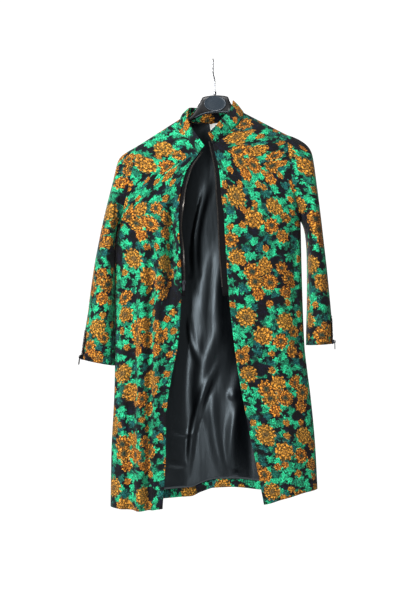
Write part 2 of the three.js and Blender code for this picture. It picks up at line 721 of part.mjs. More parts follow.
const PULL_AXIS = SLIDER.deep + PULL.above + PULL.thick / 2;
function pullTab(place) {
  const half = PULL.width / 2;
  const start = -PULL.bar / 2;
  const neck = start + PULL.neckLong;
  const cut = PULL.long - PULL.cutLong;
  const outline = new THREE.Shape([
    [PULL.shoulder - half, start], [half - PULL.shoulder, start], [half - PULL.waist, neck], [half, cut],
    [half - PULL.corner, PULL.long], [PULL.corner - half, PULL.long], [-half, cut], [PULL.waist - half, neck],
  ].map(([x, y]) => new THREE.Vector2(x, y)));
  const wide = PULL.eyeWide / 2;
  outline.holes.push(rectangle(THREE.Path, -wide, PULL.bar / 2, wide, PULL.bar / 2 + PULL.eyeLong));
  const plate = new THREE.ExtrudeGeometry(outline, { depth: PULL.thick, bevelEnabled: false });
  return plate.translate(0, 0, PULL_AXIS - PULL.thick / 2).applyMatrix4(place);
}

// Label on the lining, below the back of the neck
const LABEL_COLUMNS = 4;
const LABEL_ROWS = 2;
function backPoint(x, z) {
  const name = x < NECK_BACK.x ? 'right' : 'left';
  let [row, point] = [NECK_ROWS, null];
  for (let k = 0; k < 12; k++) {
    const outer = outerEdge(name, 1, row);
    const inner = innerEdge(name, 1, row);
    const over = Math.min((x - outer.x) / (inner.x - outer.x), 1);
    point = panelPoint(name, 1, row, over ** (1 / CROWDING));
    row += (point.z - z) / ROW_FALL;
  }
  return point;
}

function label() {
  const grid = Array.from({ length: LABEL_ROWS + 1 }, (_, i) => {
    const down = i / LABEL_ROWS;
    return Array.from({ length: LABEL_COLUMNS + 1 }, (__, k) => {
      const right = k / LABEL_COLUMNS;
      const x = LABEL.x + LABEL.wide * right + LABEL.lean * down;
      return backPoint(x, LABEL.z + LABEL.rise * right - LABEL.tall * down);
    });
  });
  const lift = -(CLOTH + 2 * LINING + 3 * GAP + LABEL.slack);
  return wallOf(sheetOf([{ grid, turned: false }]), LABEL.thick, lift);
}

// Hanger body: a closed tube of rounded sections, with an oval boss through its centre plate
function hangerBody() {
  const rings = HANGER.map((section) => {
    const middle = (section.top + section.low) / 2;
    const half = (section.top - section.low) / 2;
    return Array.from({ length: HANGER_SIDES }, (_, k) => {
      const angle = (2 * Math.PI * k) / HANGER_SIDES;
      const flat = (value) => Math.sign(value) * Math.abs(value) ** HANGER_SQUARENESS;
      const deep = section.halfDepth * flat(Math.cos(angle));
      return vector(section.x, deep, middle + half * flat(Math.sin(angle)));
    });
  });
  const oval = new THREE.Shape();
  oval.absellipse(0, 0, BOSS.halfWidth, BOSS.halfHeight, 0, 2 * Math.PI);
  const depth = 2 * (PLATE_HALF_DEPTH + BOSS.proud);
  const boss = new THREE.ExtrudeGeometry(oval, { depth, bevelEnabled: false, curveSegments: 14 });
  boss.rotateX(Math.PI / 2).translate(BOSS.x, depth / 2, BOSS.z);
  return geometryFrom(solidOf(tubeOf(rings)).add(solidOf(boss)));
}

// Hook: the path of the wire from its tip over the rail and down to the hanger
function hookPath() {
  const path = [];
  const centreZ = WIRE - HOOK_BEND;
  for (let k = 0; k <= HOOK_ARC.steps; k++) {
    const angle = lerp(HOOK_ARC.from, HOOK_ARC.to, k / HOOK_ARC.steps);
    const z = centreZ + HOOK_BEND * Math.sin(angle);
    path.push(vector(0, HOOK_BEND * Math.cos(angle), z));
  }
  const last = path[path.length - 1];
  const leave = vector(0, -Math.sin(HOOK_ARC.to), Math.cos(HOOK_ARC.to));
  const foot = vector(SHANK_X, 0, last.z - HOOK_NECK.drop);
  const bend = new THREE.CubicBezierCurve3(
    last,
    last.clone().addScaledVector(leave, HOOK_NECK.leave),
    foot.clone().add(vector(0, 0, HOOK_NECK.arrive)),
    foot,
  );
  path.push(...bend.getPoints(HOOK_NECK.steps).slice(1));
  for (const z of [FERRULE.top + 0.5, FERRULE.top, FERRULE.low, PLATE_TOP + GAP]) {
    path.push(vector(SHANK_X, 0, z));
  }
  return path;
}

function hook() {
  const path = hookPath();
  const across = vector(1, 0, 0);
  const rings = path.map((point, i) => {
    const ahead = path[Math.min(i + 1, path.length - 1)];
    const behind = path[Math.max(i - 1, 0)];
    const along = ahead.clone().sub(behind).normalize();
    const other = along.clone().cross(across).normalize();
    const first = other.clone().cross(along).normalize();
    const inFerrule = point.z <= FERRULE.top + 0.01 && point.z >= FERRULE.low - 0.01;
    const radius = inFerrule ? FERRULE.radius : WIRE;
    return Array.from({ length: WIRE_SIDES }, (_, k) => {
      const angle = (2 * Math.PI * k) / WIRE_SIDES;
      const spot = point.clone().addScaledVector(first, radius * Math.cos(angle));
      return spot.addScaledVector(other, radius * Math.sin(angle));
    });
  });
  return tubeOf(rings);
}

// The pieces
const group = new THREE.Group();
const add = (name, geometry, material) => group.add(pieceOf(name, geometry, material));

const back = backSheet();
add('back', wallOf(back, CLOTH), fabric);
const fronts = { right: frontSheet('right'), left: frontSheet('left') };
add('front_right', wallOf(fronts.right, CLOTH), fabric);
add('front_left', wallOf(fronts.left, CLOTH), fabric);
add('sleeve_right', wallOf(sleeveSheet('right'), CLOTH), fabric);
add('sleeve_left', wallOf(sleeveSheet('left'), CLOTH), fabric);
add('collar', wallOf(collarSheet(), CLOTH), fabric);
add('lining_back', liningBack(back), satin);
add('hem_facing', hemFacing(back), fabric);
add('zip_tape_right', zipTape('right', fronts.right), blackTape);
add('zip_tape_left', zipTape('left', fronts.left), blackTape);
add('hanger_body', hangerBody(), plastic);
add('hanger_hook', hook(), steel);

const frontPlace = frontZipPlace(fronts.right, FRONT_SLIDER.row, FRONT_SLIDER.back);
const boxPlace = frontZipPlace(fronts.right, FRONT_SLIDER.row, FRONT_SLIDER.back + ZIP_BOX.below);
const sliders = {
  front: frontPlace,
  cuff_right: cuffSliderPlace('right'),
  cuff_left: cuffSliderPlace('left'),
};
for (const [name, place] of Object.entries(sliders)) {
  add(`zip_slider_${name}`, slider(place), blackMetal);
  add(`zip_pull_${name}`, pullTab(place), blackMetal);
}
const zipBox = block(ZIP_BOX.width, ZIP_BOX.long, ZIP_BOX.deep, ZIP_BOX.corner).applyMatrix4(boxPlace);
add('zip_box', zipBox, blackMetal);
add('cuff_tape_right', cuffTape('right'), blackTape);
add('cuff_tape_left', cuffTape('left'), blackTape);
add('label', label(), whiteTape);

export default group;
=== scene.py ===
import math

import bpy
import numpy as np
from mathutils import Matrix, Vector


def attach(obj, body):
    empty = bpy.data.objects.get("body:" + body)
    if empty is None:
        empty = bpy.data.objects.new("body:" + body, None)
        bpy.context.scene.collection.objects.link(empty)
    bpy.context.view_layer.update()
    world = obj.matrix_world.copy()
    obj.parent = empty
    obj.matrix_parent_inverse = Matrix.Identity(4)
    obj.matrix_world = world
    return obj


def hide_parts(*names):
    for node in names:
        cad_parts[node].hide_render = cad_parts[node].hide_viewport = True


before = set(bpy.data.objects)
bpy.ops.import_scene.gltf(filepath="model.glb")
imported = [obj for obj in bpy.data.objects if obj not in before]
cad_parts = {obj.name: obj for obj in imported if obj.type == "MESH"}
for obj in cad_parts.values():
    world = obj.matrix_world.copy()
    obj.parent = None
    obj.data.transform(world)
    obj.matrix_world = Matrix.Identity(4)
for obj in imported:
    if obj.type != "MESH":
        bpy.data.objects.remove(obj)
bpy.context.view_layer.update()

BODY = "garment"

# The garment's sizes in millimetres, as its solids have them. Left and right are the wearer's.
CLOTH = 2.2
LINING = 1.2
TAPE = 1.2
GAP = 0.3
TUCK = 0.6
ARM_ROWS = 10
NECK_ROWS = 5
ROWS = 25
FINE = 4


def table(columns, *rows):
    return [dict(zip(columns.split(), row)) for row in rows]


ARMHOLE_HALF_DEPTH = 54
ARMHOLE = {
    "right": {"side": -1, "top": (-189, -215), "low": (-232, -412), "front_bow": 4},
    "left": {"side": 1, "top": (185, -187), "low": (219, -402), "front_bow": 10},
}
CHEST_Z = -402
NECK_SHOULDER = {"right": (-80, -145.5), "left": (75, -130.5)}
NECK_FRONT = {"right": (-35, -58, -240), "left": (-1, -58, -216)}
NECK_BACK = (-2.5, 48, -151)
SIDE_SEAM = {
    "right": table("z x", (-1113, -256), (-984, -254), (-827, -246.4), (-763, -245), (-700, -243.9),
                   (-560, -243.9), (-500, -243.8), (-468, -243.2), (-440, -240.8), (-412, -234)),
    "left": table("z x", (-1069, 261), (-957, 255), (-840, 244), (-770, 235), (-711, 228.5), (-539, 222),
                  (-402, 219)),
}
FRONT_EDGE = {
    "right": table("z x y", (-1112, -124, -58), (-985, -116, -58), (-890, -115, -60), (-790, -102, -62),
                   (-706, -86, -64), (-620, -79, -66), (-565, -77, -66), (-480, -80, -66),
                   (-420, -85, -66), (-345, -81, -64), (-285, -66, -61), (-240, -35, -58)),
    "left": table("z x y", (-1101, 124, -60), (-1020, 109, -61), (-900, 84, -63), (-757, 58, -65),
                  (-665, 46, -66), (-565, 36, -67), (-450, 29, -67), (-395, 26, -66), (-345, 20, -64),
                  (-295, 16, -62), (-216, -1, -58)),
}
CENTRE_BACK = table("z x y", (-1088, 0, 58), (-850, 0, 53), (-600, -1, 46), (-330, -2, 56),
                    (-230, -2.5, 54), (-151, -2.5, 48))
HEM = {
    -1: table("x z", (-256, -1113), (-200, -1116), (-161, -1117), (-124, -1112), (124, -1101),
              (173, -1088), (225, -1074), (261, -1069)),
    1: table("x z", (-256, -1113), (-126, -1103), (-56, -1100), (-30, -1088), (5, -1077), (44, -1075),
             (124, -1082), (261, -1069)),
}

# The solids' large folds, by face, then the finer ones that only the cloth here has.
# They run from z top to z low, lean by that much, and stand out by the height or sink where it is negative.
FOLDS = {
    -1: table("x top low width height lean", (-101, -330, -640, 11, -19, -4), (-84, -360, -600, 9, 5, 2),
              (-126, -300, -1000, 12, 10, -18), (-147, -380, -1130, 11, -9, -10),
              (-168, -320, -1130, 12, 9, -12), (-196, -480, -1130, 12, -8, -14),
              (-214, -560, -1130, 12, 4, -12), (196, -360, -760, 14, -4, 12),
              (168, -560, -1110, 20, 4, 30), (118, -520, -900, 24, -3, 18)),
    1: table("x top low width height lean", (-168, -330, -1130, 22, 7, -22),
             (-120, -420, -1130, 24, -7, -14), (-64, -520, -1130, 26, 6, -8),
             (20, -430, -1130, 30, -5, 6), (84, -480, -1130, 26, 7, 16), (138, -400, -1130, 24, -6, 22),
             (182, -340, -1130, 20, 6, 28)),
}
CREASES = {
    -1: table("x top low width height lean", (-152, -420, -1130, 7, -4.5, -8),
              (-134, -400, -1130, 7, 4.0, -14), (-177, -380, -1130, 7, 4.0, -10),
              (-187, -520, -1130, 6, -4.0, -12), (-101, -330, -640, 8, -5.0, -4),
              (-178, -232, -330, 9, -2.4, 14), (-160, -250, -372, 8, 1.8, 26),
              (-134, -262, -352, 7, -1.6, 30), (-205, -430, -560, 7, -2.6, 12),
              (-222, -470, -690, 6, 2.0, 2), (-188, -640, -850, 7, -2.4, -6),
              (-156, -720, -960, 6, 2.2, -9), (-134, -860, -1100, 7, -2.6, -8),
              (-208, -820, -1060, 6, -2.2, -6), (-178, -980, -1130, 7, 2.4, -4),
              (-118, -600, -760, 6, 2.0, 7), (-98, -650, -800, 5, -1.6, -4),
              (160, -206, -318, 9, -2.2, -16), (136, -226, -344, 8, 1.6, -24),
              (104, -250, -330, 8, -1.3, -26), (206, -430, -620, 6, -2.4, -6),
              (212, -520, -760, 6, 2.0, 8), (190, -700, -900, 8, -2.2, 8), (146, -640, -860, 9, 1.7, 16),
              (94, -700, -930, 9, -1.6, 20), (206, -860, -1090, 7, 2.2, 12),
              (150, -930, -1100, 9, -2.0, 10), (66, -480, -640, 9, 1.2, 8)),
    1: table("x top low width height lean", (-150, -230, -372, 10, -2.6, 18),
             (-104, -250, -380, 10, 2.0, 22), (-186, -460, -700, 8, -3.0, -8),
             (-208, -600, -900, 7, 2.6, -8), (-142, -620, -900, 9, -2.4, -6),
             (-92, -700, -1000, 9, 2.6, -4), (-38, -560, -820, 10, -2.2, 3),
             (-10, -640, -1100, 9, 2.2, 5), (52, -660, -980, 9, -2.4, 6), (108, -580, -860, 9, 2.4, 10),
             (160, -540, -820, 8, -2.8, 12), (198, -500, -780, 7, 2.4, 12),
             (142, -215, -352, 10, -2.6, -16), (98, -235, -360, 10, 2.0, -20),
             (222, -760, -1060, 7, -2.4, 8), (-228, -840, -1100, 6, -2.2, -4)),
}
COLLAR_RISE = table("along x y z", (0, 15, -20, 16), (0.125, 11, 8, 26), (0.25, 20, 2, 25),
                    (0.375, 8, -7, 35), (0.5, 0, -9, 37), (0.625, -8, -7, 35), (0.75, -27, 0, 30),
                    (0.875, -24, 6, 30), (1, -12, -18, 24))
COLLAR_CROWN = 2.5
SLEEVE = {
    "right": table("out_x out_z in_x in_z deep", (-206, -225, -234.5, -416, 56),
                   (-219, -233, -236.5, -420, 58), (-230, -242, -238, -425, 59),
                   (-237, -254, -239.5, -431, 60), (-242.5, -274, -241, -439, 61),
                   (-251, -310, -242, -450, 62), (-263, -356, -243, -468, 62),
                   (-277, -415, -243.5, -497, 60), (-287, -465, -243.5, -533, 58),
                   (-296, -512, -243.5, -568, 56), (-305, -572, -243.5, -618, 53),
                   (-313, -633, -243.5, -670, 50), (-322, -690, -244, -716, 47),
                   (-330, -746, -245, -763, 45)),
    "left": table("out_x out_z in_x in_z deep", (203, -193.5, 221, -406, 56), (221, -203, 223, -410, 58),
                  (236, -215, 225, -415, 59), (246, -232, 227, -421, 60), (252, -262, 229, -429, 61),
                  (257, -300, 231, -440, 62), (263, -345, 233, -458, 62), (270, -400, 234.5, -486, 60),
                  (277, -460, 235, -526, 59), (284, -520, 235, -572, 58), (291, -590, 234.5, -624, 56),
                  (297, -655, 233, -674, 53), (299, -708, 232.5, -712, 50)),
}
# Sleeve creases: centre along the sleeve (0 armhole, 1 cuff) and round it (turns from the front, outwards
# positive), how far each spreads along and round, the slant, and the height
SLEEVE_CREASES = {
    "right": table("along turn long wide slant height", (0.14, 0.05, 0.020, 0.10, 0.30, -3.4),
                   (0.20, -0.08, 0.022, 0.09, 0.45, 2.6), (0.30, -0.10, 0.020, 0.09, 0.50, -3.0),
                   (0.44, -0.12, 0.018, 0.10, 0.25, -2.6), (0.52, -0.10, 0.016, 0.11, -0.10, 2.4),
                   (0.58, -0.06, 0.018, 0.12, -0.25, -2.8), (0.66, 0.02, 0.020, 0.10, 0.35, 2.0),
                   (0.76, -0.04, 0.022, 0.12, 0.15, -2.0), (0.30, 0.46, 0.022, 0.12, -0.40, -3.0),
                   (0.42, 0.52, 0.020, 0.10, 0.30, 2.6), (0.55, 0.50, 0.018, 0.12, -0.20, -2.8),
                   (0.70, 0.44, 0.024, 0.12, 0.30, 2.2), (0.86, 0.10, 0.020, 0.12, -0.15, -1.6)),
    "left": table("along turn long wide slant height", (0.12, 0.04, 0.020, 0.10, -0.30, -3.2),
                  (0.19, -0.08, 0.022, 0.09, -0.42, 2.4), (0.28, -0.10, 0.020, 0.09, -0.52, -2.8),
                  (0.41, -0.11, 0.018, 0.10, -0.20, -2.6), (0.49, -0.10, 0.016, 0.11, 0.12, 2.2),
                  (0.56, -0.08, 0.018, 0.12, 0.28, -2.6), (0.65, 0.00, 0.020, 0.10, -0.30, 1.8),
                  (0.78, -0.03, 0.022, 0.12, -0.12, -1.8), (0.28, 0.46, 0.022, 0.12, 0.42, -3.0),
                  (0.40, 0.52, 0.020, 0.10, -0.28, 2.4), (0.54, 0.48, 0.018, 0.12, 0.22, -2.8),
                  (0.72, 0.45, 0.024, 0.12, -0.30, 2.2)),
}
ZIP_LAST_ROW = 14
ZIP_UNDER = 4
TAPE_SLACK = 0.7
ZIP_SHOWS = {
    "right": table("along wide", (0, 9), (0.2, 14), (0.6, 10), (1, 8)),
    "left": table("along wide", (0, 11), (0.3, 13), (0.7, 17), (1, 15)),
}
CUFF_ZIP = {"turn": -0.46, "width": 15, "length": 74, "slack": 0.3}
LABEL = {"x": -9, "z": -153.5, "wide": 38, "rise": 6, "tall": 19, "lean": 4, "thick": 1, "slack": 0.3}
ROW_FALL = 45
LINING_ROW = 2
HANGER = table("x top low deep", (-197, -226, -238, 6), (-185, -215.6, -241, 9), (-150, -196, -223, 10),
               (-110, -173, -200, 9), (-82, -156, -179, 7), (-64, -144, -163, 6.5),
               (-52, -136, -151, 6.5), (-42, -121, -145.5, 6.5), (-33, -105, -141, 6.5),
               (-25, -92.5, -137.5, 6.5), (-10, -89.2, -133.8, 6.5), (6, -87.5, -132.3, 6.5),
               (24, -88.6, -132, 6.5), (37, -91.5, -133, 6.5), (43, -105, -135, 6.5),
               (51, -118, -139.5, 6.5), (62, -130, -148, 6.5), (80, -140, -162, 7),
               (110, -156.5, -182, 9), (150, -175.5, -202, 10), (183, -189.1, -214, 9),
               (195, -197.5, -209, 6))
BOSS = {"x": 5.5, "z": -109.5, "half_width": 27.5, "half_height": 19.5}
WIRE = 1.8
HOOK_BEND = 19.3
HOOK_ARC = {"from": -0.35, "to": 3.95}
SHANK_X = 4.5
FERRULE = {"radius": 4.4, "top": -79, "low": -86}
PLATE_TOP = -87.6


# Geometry in millimetres, on arrays whose last axis is x, y, z

def read(rows, key, place, column):
    """One column of a table at places along another, with a smooth curve that never overshoots."""
    rows = sorted(rows, key=lambda row: row[key])
    xs = np.array([row[key] for row in rows], float)
    ys = np.array([row[column] for row in rows], float)
    slope = np.diff(ys) / np.diff(xs)
    before = np.concatenate([slope[:1], slope])
    after = np.concatenate([slope, slope[-1:]])
    total = np.where(before * after > 0, before + after, 1)
    tangent = np.where(before * after > 0, 2 * before * after / total, 0)
    place = np.clip(np.asarray(place, float), xs[0], xs[-1])
    k = np.clip(np.searchsorted(xs, place, side="right") - 1, 0, len(xs) - 2)
    span = xs[k + 1] - xs[k]
    t = (place - xs[k]) / span
    start = (2 * t ** 3 - 3 * t ** 2 + 1) * ys[k] + (3 * t ** 2 - 2 * t ** 3) * ys[k + 1]
    return start + ((t ** 3 - 2 * t ** 2 + t) * tangent[k] + (t ** 3 - t ** 2) * tangent[k + 1]) * span


def eased(value, low, high):
    t = np.clip((value - low) / (high - low), 0, 1)
    return t * t * (3 - 2 * t)


def mixed(a, b, share):
    return a + (b - a) * share


def xyz(x, y, z):
    return np.stack(np.broadcast_arrays(np.asarray(x, float), y, z), axis=-1)


def unit(v):
    return v / np.maximum(np.linalg.norm(v, axis=-1, keepdims=True), 1e-9)


def armhole_outward(arm):
    half_x, half_z = (np.array(arm["top"]) - np.array(arm["low"])) / 2
    return unit(np.array([half_z, 0, -half_x])) * arm["side"]


def armhole_point(arm, angle, shift):
    (top_x, top_z), (low_x, low_z) = arm["top"], arm["low"]
    x = (top_x + low_x) / 2 + (top_x - low_x) / 2 * np.cos(angle)
    z = (top_z + low_z) / 2 + (top_z - low_z) / 2 * np.cos(angle)
    x = x - np.where(angle < 0, arm["side"] * arm["front_bow"] * np.sin(angle) ** 2, 0)
    return xyz(x, ARMHOLE_HALF_DEPTH * np.sin(angle), z) + armhole_outward(arm) * shift


def outer_edge(name, face, row):
    arm = ARMHOLE[name]
    over = armhole_point(arm, face * np.pi * np.minimum(row, ARM_ROWS) / ARM_ROWS, -GAP / 2)
    hem = read(HEM[face], "x", arm["side"] * 300, "z")
    z = mixed(arm["low"][1], hem, (row - ARM_ROWS) / (ROWS - ARM_ROWS))
    under = xyz(read(SIDE_SEAM[name], "z", z, "x"), 0, z)
    return np.where((row <= ARM_ROWS)[..., None], over, under)


def neck_point(name, face, along):
    (start_x, start_z), end = NECK_SHOULDER[name], NECK_FRONT[name] if face < 0 else NECK_BACK
    angle = along * np.pi / 2
    x = mixed(start_x, end[0], 1 - np.cos(angle))
    return xyz(x, end[1] * np.sin(angle), mixed(start_z, end[2], along))


def inner_edge(name, face, row):
    line = FRONT_EDGE[name] if face < 0 else CENTRE_BACK
    neck = NECK_FRONT[name][2] if face < 0 else NECK_BACK[2]
    hem = read(HEM[face], "x", read(line, "z", -1300, "x"), "z")
    share = (row - NECK_ROWS) / (ARM_ROWS - NECK_ROWS)
    z = np.where(row > ARM_ROWS, mixed(CHEST_Z, hem, (row - ARM_ROWS) / (ROWS - ARM_ROWS)),
                 mixed(neck, CHEST_Z, share))
    below = xyz(read(line, "z", z, "x"), read(line, "z", z, "y"), z)
    at_neck = neck_point(name, face, np.minimum(row, NECK_ROWS) / NECK_ROWS)
    return np.where((row <= NECK_ROWS)[..., None], at_neck, below)


def fold_height(folds, x, z):
    height = 0
    for fold in folds:
        down = (fold["top"] - z) / (fold["top"] - fold["low"])
        middle = fold["x"] + fold["lean"] * down
        fade = eased(down, 0, 0.3)
        if fold["low"] > -1100:
            fade = fade * (1 - eased(down, 0.7, 1))
        height = height + fold["height"] * fade * np.exp(-((x - middle) / fold["width"]) ** 2)
    return height


CORNER = 2.5
CROWDING = 1.35
SEAM_DIP = 1.2


def panel(name, face, rows, across, fine=True):
    """The outer surface of a panel: a grid of points, their texture places in metres and seam sides."""
    row = np.asarray(rows, float)[:, None]
    share = np.atleast_2d(np.asarray(across, float))
    row, share = np.broadcast_arrays(row, share)
    outer, inner = outer_edge(name, face, row), inner_edge(name, face, row)
    over = share ** CROWDING
    bulged = (1 - np.clip(1 - over, 0, 1) ** CORNER) ** (1 / CORNER)
    forward = mixed(over, bulged, eased(row, 0, NECK_ROWS))
    x = mixed(outer[..., 0], inner[..., 0], over)
    y = mixed(outer[..., 1], inner[..., 1], forward)
    z = mixed(outer[..., 2], inner[..., 2], over)
    chest = outer_edge(name, face, np.full_like(row, ARM_ROWS))[..., 2]
    chest = mixed(chest, inner_edge(name, face, np.full_like(row, ARM_ROWS))[..., 2], over)
    hem = read(HEM[face], "x", x, "z")
    z = np.where(row > ARM_ROWS, mixed(chest, hem, (row - ARM_ROWS) / (ROWS - ARM_ROWS)), z)
    height = fold_height(FOLDS[face], x, z)
    if fine:
        height = height + fold_height(CREASES[face], x, z)
        height = height - SEAM_DIP * np.exp(-(share / 0.03) ** 2)
    y = y + face * height * eased(share, 0, 0.25)
    on_armhole = (share == 0) & (row <= ARM_ROWS)
    y = np.where(on_armhole & (row > 0) & (row < ARM_ROWS), outer[..., 1], y)
    seam = (row == 0) | ((share == 0) & (row >= ARM_ROWS))
    y = np.where(seam, -face * TUCK / 2, y)
    points = xyz(x, y, z)
    own = np.zeros(points.shape[:-1] + (2, 3))
    own[..., 0, :] = np.where(seam[..., None], np.array([0, face, 0]), 0)
    own[..., 1, :] = np.where(on_armhole[..., None], -armhole_outward(ARMHOLE[name]), 0)
    steps = np.linalg.norm(np.diff(points, axis=1), axis=-1)
    run = np.concatenate([np.zeros((len(row), 1)), np.cumsum(steps, axis=1)], axis=1)
    u = ARMHOLE[name]["side"] * (run[:, -1:] - run)
    lengths = np.linalg.norm(np.diff(points[:, len(share[0]) // 2], axis=0), axis=-1)
    fall = np.concatenate([[0], np.cumsum(lengths)])[:, None]
    v = points[..., 2] * 0.5 - (fall - points[:1, len(share[0]) // 2, 2]) * 0.5
    return {"points": points, "uv": np.stack([u, v], axis=-1) / 1000, "own": own}


def sheet_of(*grids):
    """Joins grids into one sheet: points, faces, texture places and seam sides, shared points merged."""
    points, uvs, owns, faces, known = [], [], [], [], {}
    for grid, turned in grids:
        place, uv, own = grid["points"], grid["uv"], grid.get("own")
        index = np.zeros(place.shape[:2], int)
        for i, j in np.ndindex(*index.shape):
            key = tuple(np.round(place[i, j] * 1000).astype(int))
            if key not in known:
                known[key] = len(points)
                points.append(place[i, j])
                owns.append(own[i, j] if own is not None else np.zeros((2, 3)))
            index[i, j] = known[key]
        for i in range(index.shape[0] - 1):
            for j in range(index.shape[1] - 1):
                corners = [(i, j), (i, j + 1), (i + 1, j + 1), (i + 1, j)]
                if turned:
                    corners.reverse()
                faces.append([index[c] for c in corners])
                uvs.append([uv[c] for c in corners])
    return {"points": np.array(points), "own": np.array(owns), "faces": np.array(faces),
            "uv": np.array(uvs)}


def normals_of(sheet):
    p, f = sheet["points"], sheet["faces"]
    face_normals = np.cross(p[f[:, 2]] - p[f[:, 0]], p[f[:, 3]] - p[f[:, 1]])
    normals = np.zeros_like(p)
    for k in range(4):
        np.add.at(normals, f[:, k], face_normals)
    return unit(normals)


def mesh_object(name, points, faces, uvs, marks, materials):
    mesh = bpy.data.meshes.new(name)
    mesh.from_pydata([tuple(p) for p in np.asarray(points) / 1000], [], [tuple(f) for f in faces])
    if uvs is not None:
        layer = mesh.uv_layers.new(name="cloth")
        flat = np.concatenate([np.asarray(uv, float).reshape(-1, 2) for uv in uvs])
        layer.data.foreach_set("uv", flat.ravel())
    for material in materials:
        mesh.materials.append(material)
    mesh.polygons.foreach_set("material_index", marks)
    mesh.polygons.foreach_set("use_smooth", [True] * len(mesh.polygons))
    mesh.validate()
    mesh.update()
    piece = bpy.data.objects.new(name, mesh)
    bpy.context.scene.collection.objects.link(piece)
    return piece


def wall(name, sheet, thick, lift=0, materials=(), normals=None):
    """A cloth wall on the inner side of a sheet. The second material is for its inner face."""
    normals = normals_of(sheet) if normals is None else normals
    outer = sheet["points"] + normals * lift
    inward = -normals
    for k in range(2):
        own = sheet["own"][:, k]
        inward = inward - own * np.minimum((inward * own).sum(axis=1, keepdims=True), 0)
    inner = outer + unit(inward) * thick
    count = len(outer)
    faces, uvs = [list(f) for f in sheet["faces"]], [list(map(tuple, uv)) for uv in sheet["uv"]]
    marks = [0] * len(faces)
    backs = [[k + count for k in reversed(f)] for f in faces]
    back_uvs = [list(reversed(uv)) for uv in uvs]
    edges = {}
    for f, uv in zip(faces, uvs):
        for k in range(4):
            edges[f[k], f[(k + 1) % 4]] = (uv[k], uv[(k + 1) % 4])
    rims, rim_uvs = [], []
    for (a, b), (uv_a, uv_b) in edges.items():
        if (b, a) not in edges:
            rims.append([b, a, a + count, b + count])
            rim_uvs.append([uv_b, uv_a, uv_a, uv_b])
    all_faces = faces + backs + rims
    marks = marks + [len(materials) - 1] * len(backs) + [0] * len(rims)
    all_uvs = [np.array(uv) for uv in uvs + back_uvs + rim_uvs]
    return mesh_object(name, np.concatenate([outer, inner]), all_faces, all_uvs, marks, materials)


# Shaders

class Value:
    """A shader socket that Python expressions can use as a number."""

    def __init__(self, shader, socket):
        self.shader = shader
        self.socket = socket

    def math(self, operation, *others):
        made = self.shader.tree.nodes.new("ShaderNodeMath")
        made.operation = operation
        for socket, value in zip(made.inputs, (self,) + others):
            self.shader.put(socket, value)
        return Value(self.shader, made.outputs[0])

    def reflected(self, operation, other):
        made = self.shader.tree.nodes.new("ShaderNodeMath")
        made.operation = operation
        made.inputs[0].default_value = other
        self.shader.put(made.inputs[1], self)
        return Value(self.shader, made.outputs[0])

    def __add__(self, other): return self.math("ADD", other)
    def __radd__(self, other): return self.math("ADD", other)
    def __sub__(self, other): return self.math("SUBTRACT", other)
    def __rsub__(self, other): return self.reflected("SUBTRACT", other)
    def __mul__(self, other): return self.math("MULTIPLY", other)
    def __rmul__(self, other): return self.math("MULTIPLY", other)
    def __truediv__(self, other): return self.math("DIVIDE", other)
    def __pow__(self, other): return self.math("POWER", other)
    def __lt__(self, other): return self.math("LESS_THAN", other)
    def __gt__(self, other): return self.math("GREATER_THAN", other)
    def __abs__(self): return self.math("ABSOLUTE")
    def sin(self): return self.math("SINE")
    def cos(self): return self.math("COSINE")
    def root(self): return self.math("SQRT")
    def angle(self, x): return self.math("ARCTAN2", x)
    def least(self, other): return self.math("MINIMUM", other)
    def most(self, other): return self.math("MAXIMUM", other)

    def ramp(self, low, high):
        """0 at low and 1 at high, with soft ends. Low may be above high."""
        made = self.shader.node("ShaderNodeMapRange", {"interpolation_type": "SMOOTHSTEP"},
                                {"Value": self, "From Min": low, "From Max": high})
        return Value(self.shader, made.outputs["Result"])


